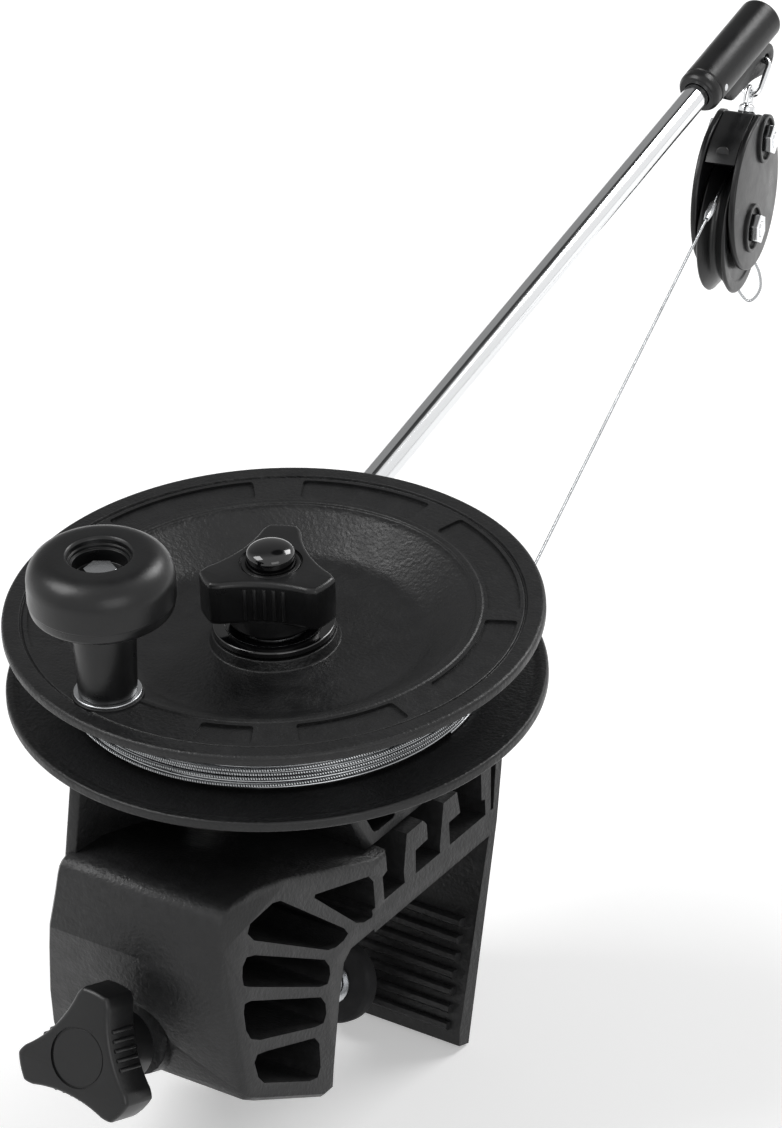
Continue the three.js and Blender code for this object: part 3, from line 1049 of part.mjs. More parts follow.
// Turns a solid that stands on Z to point along a line from a place
function alongLine(geometry, place, direction) {
  const turn = new THREE.Quaternion().setFromUnitVectors(Z_AXIS, direction);
  return geometry.applyQuaternion(turn).translate(place.x, place.y, place.z);
}

function buildCable(spool, axle) {
  const rearward = new THREE.Vector3(-Math.sin(BLOCK_YAW), Math.cos(BLOCK_YAW), 0);
  const fall = Math.atan2(SPOOL_FOOT + CABLE_HEIGHT - axle.z - CABLE_WRAP_RADIUS, axle.y + SPOOL_SETBACK);
  const onSheave = (angle) =>
    axle.clone()
      .addScaledVector(rearward, CABLE_WRAP_RADIUS * Math.cos(angle))
      .addScaledVector(Z_AXIS, CABLE_WRAP_RADIUS * Math.sin(angle));
  const touch = Math.PI / 2 - fall;
  const sheaveTop = onSheave(touch);

  const flat = new THREE.Vector2(sheaveTop.x, sheaveTop.y + SPOOL_SETBACK);
  const leave = flat.angle() - Math.acos(WINDING_RADIUS / flat.length());
  const spoolSide = new THREE.Vector3(
    WINDING_RADIUS * Math.cos(leave), WINDING_RADIUS * Math.sin(leave) - SPOOL_SETBACK, SPOOL_FOOT + CABLE_HEIGHT,
  );
  const ahead = sheaveTop.clone().sub(spoolSide).normalize();
  const beforeSheave = (distance) => sheaveTop.clone().addScaledVector(ahead, -distance);

  const turns = windingPoints(leave);
  console.log(`cable winding: least gap to itself ${leastGap(turns).toFixed(3)} mm`);
  piece(spool, "cable_winding", wound(turns, WINDING_SIDES), WIRE);
  const coreRadius = DRUM_RADIUS + CORE_THICKNESS;
  const core = ring(DRUM_RADIUS + RUN, coreRadius, PLATE_TOP + RUN, UPPER_FLANGE_FOOT - RUN, SPOOL_FACETS);
  piece(spool, "cable_core", core, WIRE);

  const runStart = spoolSide.clone().addScaledVector(ahead, RUN_START);
  const runEnd = beforeSheave(STOP_PLACE + STOP_LENGTH + STOP_GAP);
  piece(model, "cable_run", tube(new THREE.LineCurve3(runStart, runEnd), WIRE_RADIUS, 8, 1), WIRE);

  const sleeve = turned([
    [WIRE_RADIUS + RUN, 0], [STOP_TIP_RADIUS, 0], [STOP_RADIUS, STOP_LENGTH / 3],
    [STOP_RADIUS, STOP_LENGTH - WIRE_RADIUS], [STOP_TIP_RADIUS, STOP_LENGTH], [WIRE_RADIUS + RUN, STOP_LENGTH],
  ], 12);
  const sleeveStart = beforeSheave(STOP_PLACE + STOP_LENGTH);
  piece(model, "cable_stop", alongLine(sleeve, sleeveStart, ahead), STEEL);

  const rear = onSheave(0);
  const below = (drop) => rear.clone().addScaledVector(Z_AXIS, -drop);
  const wrapSteps = 7;
  const route = [
    sleeveStart, beforeSheave(STOP_PLACE), beforeSheave(STOP_PLACE / 3),
    ...Array.from({ length: wrapSteps + 1 }, (_, i) => onSheave(touch * (1 - i / wrapSteps))),
    below(CABLE_DROP / 2), below(CABLE_DROP + END_SLEEVE_LENGTH / 3),
  ];
  const overSheave = new THREE.CatmullRomCurve3(route, false, "chordal");
  piece(model, "cable_end", tube(overSheave, WIRE_RADIUS, 8, 32), WIRE);

  const group = frame(model, rear.x, rear.y, rear.z - CABLE_DROP, BLOCK_YAW);
  const bore = WIRE_RADIUS + RUN * 1.5;
  const foot = -END_SLEEVE_LENGTH;
  const legs = [-LOOP_LEG, LOOP_LEG];
  const endSleeve = cut(
    rod(END_SLEEVE_RADIUS, foot, 0, 16),
    rod(bore, foot / 3 - FIT, OVERRUN, 8),
    ...legs.map((x) => rod(bore, foot - OVERRUN, foot * 0.45, 8).translate(x, 0, 0)),
  );
  piece(group, "cable_end_sleeve", endSleeve, STEEL);
  const side = (sign) => [
    new THREE.Vector3(sign * LOOP_LEG, 0, foot * 0.5),
    new THREE.Vector3(sign * LOOP_LEG, 0, foot - FIT),
    new THREE.Vector3(sign * LOOP_HALF_WIDTH, 0, foot - LOOP_LENGTH * 0.4),
    new THREE.Vector3(sign * LOOP_HALF_WIDTH, 0, foot - LOOP_LENGTH * 0.75),
  ];
  const loopRoute = [...side(-1), new THREE.Vector3(0, 0, foot - LOOP_LENGTH), ...side(1).reverse()];
  const loopCurve = new THREE.CatmullRomCurve3(loopRoute, false, "centripetal");
  piece(group, "cable_end_loop", tube(loopCurve, WIRE_RADIUS, 8, 24), WIRE);
}

buildClamp();
buildBase();
const boomFrame = buildBoom();
const spoolFrame = buildSpool();
const axlePlace = buildPulley(boomFrame);
buildCable(spoolFrame, axlePlace);

export default model;
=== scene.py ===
"""Looks of a hand-cranked downrigger: clamp, base, spool, brake, crank, boom, pulley block and cable.

Sizes are in millimetres and angles in degrees, unless a line says otherwise. A table of corners gives two
coordinates each, which are radius and height for a turned form, and a third number where the corner is
rounded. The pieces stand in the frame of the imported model, which is loaded first.
"""

import json
import logging
import math
from collections.abc import Iterable, Sequence
from dataclasses import dataclass, field
from enum import Enum

import bmesh
import bpy
from mathutils import Matrix, Vector
from mathutils.geometry import tessellate_polygon


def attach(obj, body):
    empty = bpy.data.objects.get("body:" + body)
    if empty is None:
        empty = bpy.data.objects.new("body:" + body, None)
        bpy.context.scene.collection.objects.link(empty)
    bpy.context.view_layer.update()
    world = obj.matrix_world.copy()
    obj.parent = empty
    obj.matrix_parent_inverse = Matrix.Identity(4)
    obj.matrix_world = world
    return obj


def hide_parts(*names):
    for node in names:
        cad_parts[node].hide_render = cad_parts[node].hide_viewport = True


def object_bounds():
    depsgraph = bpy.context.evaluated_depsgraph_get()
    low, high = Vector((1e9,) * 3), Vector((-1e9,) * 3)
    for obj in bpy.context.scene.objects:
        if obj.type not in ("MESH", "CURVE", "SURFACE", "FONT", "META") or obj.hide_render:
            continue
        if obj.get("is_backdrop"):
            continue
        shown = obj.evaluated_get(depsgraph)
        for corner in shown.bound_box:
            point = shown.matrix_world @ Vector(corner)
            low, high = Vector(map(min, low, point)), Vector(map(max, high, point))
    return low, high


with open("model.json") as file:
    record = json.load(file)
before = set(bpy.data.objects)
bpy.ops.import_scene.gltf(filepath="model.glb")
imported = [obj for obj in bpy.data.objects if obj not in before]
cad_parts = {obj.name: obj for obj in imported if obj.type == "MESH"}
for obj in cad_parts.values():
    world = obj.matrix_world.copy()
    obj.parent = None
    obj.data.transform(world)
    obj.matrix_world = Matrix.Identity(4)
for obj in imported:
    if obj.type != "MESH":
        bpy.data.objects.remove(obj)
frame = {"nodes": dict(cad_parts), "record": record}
log = logging.getLogger("downrigger")

Point2 = tuple[float, float]
Point3 = tuple[float, float, float]
Corners = Sequence[tuple[float, ...]]

MM = 0.001
QUARTER, TURN = math.pi / 2, 2 * math.pi
HOME = Matrix.Identity(4)

# Angles from which an edge stays sharp, in radians: turned forms, moulded CAD forms and strands
SHARP, MOULDED_SHARP, STRAND_SHARP = (math.radians(angle) for angle in (32, 47, 70))
# Distances under which points are joined, in metres, and the angle under which CAD faces are one
WELD, CAD_WELD, FLAT = 1e-7, 1e-6, math.radians(0.8)
# A radius under which a point is on the axis, the most of a side that a rounding takes, and the least
# cosine by which the corner of an inset outline is moved out
ON_AXIS, SIDE_SHARE, LEAST_COSINE = 1e-6, 0.48, 0.5
# Pieces round a hole, and the depth between a cable's strands as a share of its radius
HOLE_STEPS, STRAND_DEPTH = 64, 0.2
LEAST_ROUGHNESS = 0.03
METAL_SPECULAR, OTHER_SPECULAR = 0.5, 0.36


# Frames of the object

def turned(axis: str, angle: float) -> Matrix:
    """Returns a turn about an axis."""
    return Matrix.Rotation(math.radians(angle), 4, axis)


class Facing(Enum):
    """How a form that is made along Z is laid into its frame."""

    ALONG_Y = turned("X", -90)
    AGAINST_Y = turned("X", 90)
    ALONG_X = Matrix(((0, 0, 1, 0), (1, 0, 0, 0), (0, 1, 0, 0), (0, 0, 0, 1)))


@dataclass(frozen=True)
class Place:
    """A local frame of the object.

    Attributes:
        origin: where it stands.
        yaw: turn about Z.
        pitch: turn about its own X.
    """

    origin: Point3
    yaw: float = 0.0
    pitch: float = 0.0

    def matrix(self, facing: Facing | None = None) -> Matrix:
        """Gives the frame as a matrix, in metres.

        Args:
            facing: how the form is laid into it, or None where it stands along Z.

        Returns:
            The matrix.
        """
        turn = turned("Z", self.yaw) @ turned("X", self.pitch)
        made = Matrix.Translation(Vector(self.origin) * MM) @ turn
        return made @ facing.value if facing else made


SPOOL = Place((0, -25, 88.004))
CRANK = Place((-17.8, -98.577, 88.004))
SCREW = Place((0, -112.058, -10.664), 0, -20.4)
BOOM = Place((-38.207, -27.672, 68.004), 4, 9)
LINK = Place((-67.756, 394.904, 117.277), 4, -48)
SWIVEL = Place((-66.953, 383.413, 106.906), 16, -35)
BLOCK = Place((-59.048, 355.845, 65.948), 16, -35)


# Shader nodes

def feed(tree: bpy.types.NodeTree, node: bpy.types.Node, inputs: dict[str | int, object]) -> None:
    """Sets the inputs of a node.

    Args:
        tree: the node's tree.
        node: the node.
        inputs: each input's value, or the socket that drives it, by name or number.
    """
    for name, value in inputs.items():
        if isinstance(value, bpy.types.NodeSocket):
            tree.links.new(value, node.inputs[name])
        else:
            node.inputs[name].default_value = value


def add(tree: bpy.types.NodeTree, kind: str, inputs: dict[str | int, object], output: str | int = 0,
        operation: str = "") -> bpy.types.NodeSocket:
    """Adds a shader node.

    Args:
        tree: takes the node.
        kind: its type, without the words that all types share.
        inputs: as in feed().
        output: the output to return, by name or number.
        operation: what a node for mathematics does.

    Returns:
        That output.
    """
    node = tree.nodes.new(f"ShaderNode{kind}")
    if operation:
        node.operation = operation
    feed(tree, node, inputs)
    return node.outputs[output]


def mapped(tree: bpy.types.NodeTree, value: bpy.types.NodeSocket, source: Point2,
           target: Point2) -> bpy.types.NodeSocket:
    """Maps a span of values onto another.

    Args:
        tree: takes the node.
        value: what is mapped.
        source: the span that it comes from.
        target: the span that it goes to.

    Returns:
        The mapped value.
    """
    return add(tree, "MapRange", {"Value": value, "From Min": source[0], "From Max": source[1],
                                  "To Min": target[0], "To Max": target[1]}, "Result")


# Finishes

class Kind(Enum):
    """What a finish is made of."""

    PLASTIC = "plastic"
    METAL = "metal"
    FIBRE = "fibre"


@dataclass(frozen=True)
class Finish:
    """A procedural material.

    Attributes:
        slot: the record's material slot.
        kind: what it is made of.
        colour: base colour, linear.
        roughness: middle of its roughness.
        spread: how far the roughness varies either way.
        grain: size of its grain.
        bump: strength of the grain.
        stretch: how many times longer the grain is along the local Y axis.
        wear: how far bare edges lighten.
        coat: strength of its clear coat.
        coat_roughness: roughness of that coat.
        grain_height: how high the grain is at full strength.
        mottle: size of the lighter and darker patches.
        shades: where in their noise they stand, each with its share of the base colour.
        patch: size of the rougher and smoother patches, and patch_span: where they start and end.
        worn_patch: size of the worn patches, and worn_span: how pointed a worn edge is.
        worn_gain: how many times lighter a worn edge is, and worn_lift: what is added to that.
    """

    slot: str
    kind: Kind
    colour: Point3
    roughness: float
    spread: float
    grain: float
    bump: float
    stretch: float = 1.0
    wear: float = 0.0
    coat: float = 0.0
    coat_roughness: float = 0.06
    grain_height: float = 0.3
    mottle: float = 22.0
    shades: tuple[Point2, Point2] = ((0.3, 0.84), (0.72, 1.16))
    patch: float = 7.0
    patch_span: Point2 = (0.3, 0.7)
    worn_patch: float = 3.0
    worn_span: Point2 = (0.53, 0.62)
    worn_gain: float = 3.0
    worn_lift: float = 0.03

    def material(self) -> bpy.types.Material:
        """Makes the material, or finds it once it is made.

        Returns:
            The material.
        """
        name = f"finish_{self.slot}"
        if name in bpy.data.materials:
            return bpy.data.materials[name]
        made = bpy.data.materials.new(name)
        made.use_nodes = True
        made.diffuse_color = (*self.colour, 1)
        tree, metal = made.node_tree, self.kind is Kind.METAL
        place = add(tree, "Mapping", {"Vector": add(tree, "TexCoord", {}, "Object"),
                                      "Scale": (1, 1 / self.stretch, 1)})
        rough = self._noise(tree, place, self.patch, 5)
        span = (max(LEAST_ROUGHNESS, self.roughness - self.spread), self.roughness + self.spread)
        grain = {"Strength": self.bump, "Distance": self.grain_height * MM,
                 "Height": self._noise(tree, place, self.grain, 3)}
        feed(tree, tree.nodes["Principled BSDF"], {
            "Metallic": 1.0 if metal else 0.0,
            "Specular IOR Level": METAL_SPECULAR if metal else OTHER_SPECULAR,
            "Coat Weight": self.coat,
            "Coat Roughness": self.coat_roughness,
            "Base Color": self._colour(tree, place),
            "Roughness": mapped(tree, rough, self.patch_span, span),
            "Normal": add(tree, "Bump", grain, "Normal"),
        })
        return made

    @staticmethod
    def _noise(tree: bpy.types.NodeTree, place: bpy.types.NodeSocket, size: float,
               detail: float) -> bpy.types.NodeSocket:
        """Returns the value of a noise of some size and detail."""
        return add(tree, "TexNoise", {"Vector": place, "Scale": 1 / (size * MM), "Detail": detail}, "Fac")

    def _shade(self, share: float, lift: float = 0.0) -> tuple[float, ...]:
        """Returns a share of the base colour, lifted, with its alpha."""
        return (*(min(1.0, c * share + lift) for c in self.colour), 1)

    def _colour(self, tree: bpy.types.NodeTree, place: bpy.types.NodeSocket) -> bpy.types.NodeSocket:
        """Makes the mottled colour, lighter in patches along bare edges.

        Args:
            tree: takes the nodes.
            place: the coordinates.

        Returns:
            The colour.
        """
        ramp = tree.nodes.new("ShaderNodeValToRGB")
        feed(tree, ramp, {"Fac": self._noise(tree, place, self.mottle, 4)})
        for stop, (position, share) in zip(ramp.color_ramp.elements, self.shades):
            stop.position = position
            stop.color = self._shade(share)
        if not self.wear:
            return ramp.outputs["Color"]
        edge = add(tree, "NewGeometry", {}, "Pointiness")
        bare = mapped(tree, edge, self.worn_span, (0, self.wear))
        broken = self._noise(tree, place, self.worn_patch, 3)
        worn = tree.nodes.new("ShaderNodeMix")
        worn.data_type = "RGBA"
        feed(tree, worn, {"Factor": add(tree, "Math", {0: bare, 1: broken}, operation="MULTIPLY"),
                          "A": ramp.outputs["Color"], "B": self._shade(self.worn_gain, self.worn_lift)})
        return worn.outputs["Result"]


MOULDED = Finish("moulded_black", Kind.PLASTIC, (0.0075, 0.0076, 0.008), 0.42, 0.08, 1.5, 1.0, wear=0.5)
SMOOTH = Finish("smooth_black", Kind.PLASTIC, (0.0065, 0.0066, 0.007), 0.32, 0.05, 1.6, 0.12, wear=0.3)
GLOSS = Finish("gloss_black", Kind.PLASTIC, (0.003, 0.003, 0.0034), 0.1, 0.03, 4, 0.02, coat=0.6)
RUBBER = Finish("pad_rubber", Kind.PLASTIC, (0.012, 0.012, 0.013), 0.8, 0.08, 1.2, 0.5)
STEEL = Finish("steel", Kind.METAL, (0.55, 0.56, 0.575), 0.26, 0.07, 0.8, 0.12)
BRIGHT = Finish("polished_steel", Kind.METAL, (0.8, 0.81, 0.82), 0.1, 0.03, 1.1, 0.03, stretch=14)
BRASS = Finish("brass", Kind.METAL, (0.62, 0.44, 0.18), 0.32, 0.08, 1.2, 0.12)
LINING = Finish("friction_lining", Kind.FIBRE, (0.06, 0.05, 0.042), 0.85, 0.08, 0.7, 0.7)
CABLE = Finish("cable_steel", Kind.METAL, (0.4, 0.41, 0.42), 0.22, 0.06, 0.6, 0.1)
FINISHES = {f.slot: f for f in (MOULDED, SMOOTH, GLOSS, RUBBER, STEEL, BRIGHT, BRASS, LINING, CABLE)}


# Outlines

def polar(radius: float, angle: float) -> Point2:
    """Returns a point at a radius and an angle in radians."""
    return radius * math.cos(angle), radius * math.sin(angle)


def arc(cx: float, cy: float, radius: float, start: float, end: float, steps: int) -> list[Point2]:
    """Divides an arc into even pieces.

    Args:
        cx: centre, first coordinate.
        cy: centre, second coordinate.
        radius: of the arc.
        start: first angle, in radians.
        end: last angle, in radians.
        steps: how many pieces.

    Returns:
        The points.
    """
    points = (polar(radius, start + (end - start) / steps * i) for i in range(steps + 1))
    return [(cx + x, cy + y) for x, y in points]


def circle(radius: float, steps: int, cx: float = 0, cy: float = 0) -> list[Point2]:
    """Returns the points of a circle, without a repeat."""
    return arc(cx, cy, radius, 0, TURN, steps)[:-1]


def oval(top: float, foot: float, radius: float, steps: int) -> list[Point2]:
    """Returns the line of an oval between the centres of its two round ends."""
    return arc(0, top, radius, 0, math.pi, steps) + arc(0, foot, radius, math.pi, TURN, steps)


def filleted(corners: Corners, closed: bool = True, steps: int = 4) -> list[Point2]:
    """Rounds the corners that state a third number.

    Args:
        corners: in order.
        closed: whether the last corner joins the first.
        steps: pieces per round.

    Returns:
        The points.
    """
    made: list[Point2] = []
    count = len(corners)
    for i, corner in enumerate(corners):
        here = Vector(corner[:2])
        reach = corner[2] if len(corner) > 2 else 0
        if reach <= 0 or (not closed and i in (0, count - 1)):
            made.append(tuple(here))
            continue
        before, after = (Vector(corners[j % count][:2]) - here for j in (i - 1, i + 1))
        start, end = (here + way.normalized() * min(reach, way.length * SIDE_SHARE)
                      for way in (before, after))
        for j in range(steps + 1):
            t = j / steps
            made.append(tuple(start * (1 - t) ** 2 + here * (2 * t * (1 - t)) + end * t ** 2))
    return made


def smoothed(outline: list[Point2], rounds: int) -> list[Point2]:
    """Softens an outline by cutting its corners at a quarter of each side.

    Args:
        outline: a closed outline.
        rounds: how often all corners are cut.

    Returns:
        The finer outline.
    """
    for _ in range(rounds):
        sides = zip(outline, outline[1:] + outline[:1])
        outline = [(a[0] * (1 - t) + b[0] * t, a[1] * (1 - t) + b[1] * t)
                   for a, b in sides for t in (0.25, 0.75)]
    return outline


def inset(outline: list[Point2], distance: float) -> list[Point2]:
    """Shrinks an outline evenly.

    Args:
        outline: closed, counter-clockwise.
        distance: how far in.

    Returns:
        The smaller outline.
    """
    made = []
    for i, point in enumerate(outline):
        here = Vector(point)
        before = (here - Vector(outline[i - 1])).normalized()
        after = (Vector(outline[(i + 1) % len(outline)]) - here).normalized()
        along = (before + after).normalized()
        inward = Vector((-along.y, along.x))
        made.append(tuple(here + inward * distance / max(LEAST_COSINE, before.dot(along))))
    return made


# Meshes

def shade(data: bpy.types.Mesh, sharp: float, clean: bool = False) -> None:
    """Smooths a mesh except at its sharp edges.

    Args:
        data: the mesh.
        sharp: the angle from which an edge stays sharp, in radians.
        clean: whether doubled points are joined and the faces turned outward first.
    """
    form = bmesh.new()
    form.from_mesh(data)
    if clean:
        bmesh.ops.remove_doubles(form, verts=form.verts, dist=WELD)
        bmesh.ops.recalc_face_normals(form, faces=form.faces)
    for face in form.faces:
        face.smooth = True
    for edge in form.edges:
        edge.smooth = len(edge.link_faces) == 2 and edge.calc_face_angle(0) < sharp
    form.to_mesh(data)
    form.free()


@dataclass
class Mesh:
    """Vertices and faces in millimetres, gathered form by form.

    Attributes:
        points: vertices.
        faces: vertex numbers of each face.
    """

    points: list[Point3] = field(default_factory=list)
    faces: list[tuple[int, ...]] = field(default_factory=list)

    def ring(self, points: Iterable[Sequence[float]]) -> list[int]:
        """Adds a loop of vertices.

        Args:
            points: where they are.

        Returns:
            Their numbers.
        """
        first = len(self.points)
        self.points.extend(tuple(p) for p in points)
        return list(range(first, len(self.points)))

    def grid(self, rows: list[list[int]], closed: bool = True) -> None:
        """Joins rows of vertices by faces.

        Args:
            rows: vertex numbers, equally many in each.
            closed: whether each row closes on itself.
        """
        for low, high in zip(rows, rows[1:]):
            count = len(low)
            for i in range(count if closed else count - 1):
                j = (i + 1) % count
                face = tuple(dict.fromkeys((low[i], low[j], high[j], high[i])))
                if len(face) > 2:
                    self.faces.append(face)

    def cap(self, *loops: list[int]) -> None:
        """Fills a loop in, apart from the holes that any further loops leave.

        Args:
            loops: vertex numbers of each.
        """
        flat = [n for loop in loops for n in loop]
        for triangle in tessellate_polygon([[Vector(self.points[n]) for n in loop] for loop in loops]):
            self.faces.append(tuple(flat[i] for i in triangle))

    def lathe(self, profile: Corners, steps: int = 96, closed: bool = True, fine: int = 4) -> "Mesh":
        """Turns a profile about Z.

        Args:
            profile: the corners; one that isn't closed starts and ends on the axis.
            steps: how many pieces go round.
            closed: whether the profile closes on itself.
            fine: pieces per round.

        Returns:
            This mesh.
        """
        rows = []
        for radius, height in filleted(profile, closed, fine):
            if radius < ON_AXIS:
                rows.append(self.ring([(0, 0, height)]) * steps)
            else:
                rows.append(self.ring((x, y, height) for x, y in circle(radius, steps)))
        self.grid(rows + rows[:1] if closed else rows)
        return self

    def slab(self, outline: list[Point2], low: float, high: float, edge: float = 0, hole: float = 0,
             sink: float = 0, steps: int = 4) -> "Mesh":
        """Extrudes an outline along Z with rounded edges.

        Args:
            outline: closed, counter-clockwise.
            low: its lower face.
            high: its upper face.
            edge: radius of the rounded edges.
            hole: radius of a round hole about the origin, or 0.
            sink: depth of that hole from the upper face, or 0 to go right through.
            steps: pieces per edge.

        Returns:
            This mesh.
        """
        bends = [QUARTER * i / steps for i in range(steps + 1)] if edge else [QUARTER]
        curve = [(edge * (1 - math.sin(bend)), edge * (1 - math.cos(bend))) for bend in bends]
        levels = [(i, low + z) for i, z in curve] + [(i, high - z) for i, z in reversed(curve)]
        rows = [self.ring((*p, z) for p in (inset(outline, i) if i else outline)) for i, z in levels]
        self.grid(rows)
        foot, top = [rows[0]], [rows[-1]]
        if hole:
            floor = high - sink if sink else low
            upper, lower = (self.ring((x, y, z) for x, y in circle(hole, HOLE_STEPS)) for z in (high, floor))
            self.grid([upper, lower])
            top.append(upper)
            if sink:
                self.cap(lower)
            else:
                foot.append(lower)
        self.cap(*foot)
        self.cap(*top)
        return self

    def tube(self, route: list[Vector], radius: float, sides: int = 16, closed: bool = False,
             lobes: int = 0, lay: float = 8) -> "Mesh":
        """Sweeps a round or stranded section along a route.

        Args:
            route: the middle line.
            radius: of the section.
            sides: points round it.
            closed: whether the route is a loop.
            lobes: strands that show on its surface, or 0.
            lay: length in which the strands go once round.

        Returns:
            This mesh.
        """
        count = len(route)
        ahead = [(route[(i + 1) % count if closed else min(i + 1, count - 1)]
                  - route[i - 1 if closed else max(i - 1, 0)]).normalized() for i in range(count)]
        side = ahead[0].orthogonal().normalized()
        rows, travelled = [], 0.0
        for i, (middle, along) in enumerate(zip(route, ahead)):
            side = (side - along * side.dot(along)).normalized()
            other = along.cross(side)
            travelled += (middle - route[i - 1]).length if i else 0.0
            twist = TURN * travelled / lay if lobes else 0.0
            points = []
            for j in range(sides):
                dip = 0.5 - 0.5 * math.cos(TURN * lobes * j / sides)
                u, v = polar(radius * (1 - STRAND_DEPTH * dip), TURN * j / sides + twist)
                points.append(middle + side * u + other * v)
            rows.append(self.ring(points))
        self.grid(rows + rows[:1] if closed else rows)
        if not closed:
            self.cap(rows[0])
            self.cap(rows[-1])
        return self

    def moved(self, matrix: Matrix, start: int = 0) -> "Mesh":
        """Moves vertices.

        Args:
            matrix: the move, in millimetres.
            start: number of the first that moves.

        Returns:
            This mesh.
        """
        self.points[start:] = [tuple(matrix @ Vector(p)) for p in self.points[start:]]
        return self

    def data(self, name: str) -> bpy.types.Mesh:
        """Makes a Blender mesh of it, in metres.

        Args:
            name: of that mesh.

        Returns:
            The mesh.
        """
        made = bpy.data.meshes.new(name)
        made.from_pydata([tuple(c * MM for c in p) for p in self.points], [], self.faces)
        return made

    def piece(self, name: str, body: str, finish: Finish, place: Matrix, *nodes: str,
              sharp: float = SHARP) -> bpy.types.Object:
        """Makes the object and ties it to the frame.

        Args:
            name: of the object.
            body: the moving body that it rides on.
            finish: its material.
            place: its frame.
            nodes: the CAD nodes that it stands for.
            sharp: the angle from which an edge stays sharp, in radians.

        Returns:
            The object.
        """
        data = self.data(name)
        shade(data, sharp, clean=True)
        data.transform(place)
        data.materials.append(finish.material())
        obj = bpy.data.objects.new(name, data)
        bpy.context.scene.collection.objects.link(obj)
        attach(obj, body)
        if nodes:
            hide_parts(*nodes)
        return obj


def dressed(node: str, body: str, finish: Finish, width: float, segments: int = 2,
            sharp: float = SHARP) -> bpy.types.Object:
    """Gives the form of a CAD node rounded edges and its finish, as a new piece.

    Args:
        node: the CAD node.
        body: the body that it rides on.
        finish: its material.
        width: of the rounded edges.
        segments: pieces per edge.
        sharp: the angle from which an edge is rounded instead of smoothed over, in radians.

    Returns:
        The new piece.
    """
    form = bmesh.new()
    form.from_mesh(frame["nodes"][node].data)
    bmesh.ops.remove_doubles(form, verts=form.verts, dist=CAD_WELD)
    bmesh.ops.dissolve_limit(form, angle_limit=FLAT, verts=form.verts, edges=form.edges)
    clean = Mesh([tuple(v.co / MM) for v in form.verts],
                 [tuple(v.index for v in f.verts) for f in form.faces])
    form.free()
    obj = clean.piece(f"{node}_form", body, finish, HOME, node, sharp=sharp)
    bevel = obj.modifiers.new("edges", "BEVEL")
    bevel.width = width * MM
    bevel.segments = segments
    bevel.limit_method = "ANGLE"
    bevel.angle_limit = sharp
    bevel.use_clamp_overlap = True
    bevel.harden_normals = True
    return obj


def cut(obj: bpy.types.Object, cutter: Mesh, place: Matrix) -> None:
    """Cuts a mesh away from a piece and keeps the result in its mesh.

    Args:
        obj: the piece.
        cutter: what is cut away.
        place: the frame that the cutter is made in.
    """
    data = cutter.data("cutter")
    shade(data, SHARP, clean=True)
    data.transform(place)
    tool = bpy.data.objects.new("cutter", data)
    bpy.context.scene.collection.objects.link(tool)
    step = obj.modifiers.new("cut", "BOOLEAN")
    step.operation = "DIFFERENCE"
    step.solver = "EXACT"
    step.object = tool
    bpy.context.view_layer.update()
    made = bpy.data.meshes.new_from_object(obj.evaluated_get(bpy.context.evaluated_depsgraph_get()))
    obj.modifiers.clear()
    old, name = obj.data, obj.data.name
    obj.data = made
    bpy.data.meshes.remove(old)
    made.name = name
    bpy.data.objects.remove(tool)
    bpy.data.meshes.remove(data)
    shade(made, SHARP)


# Sub-assemblies

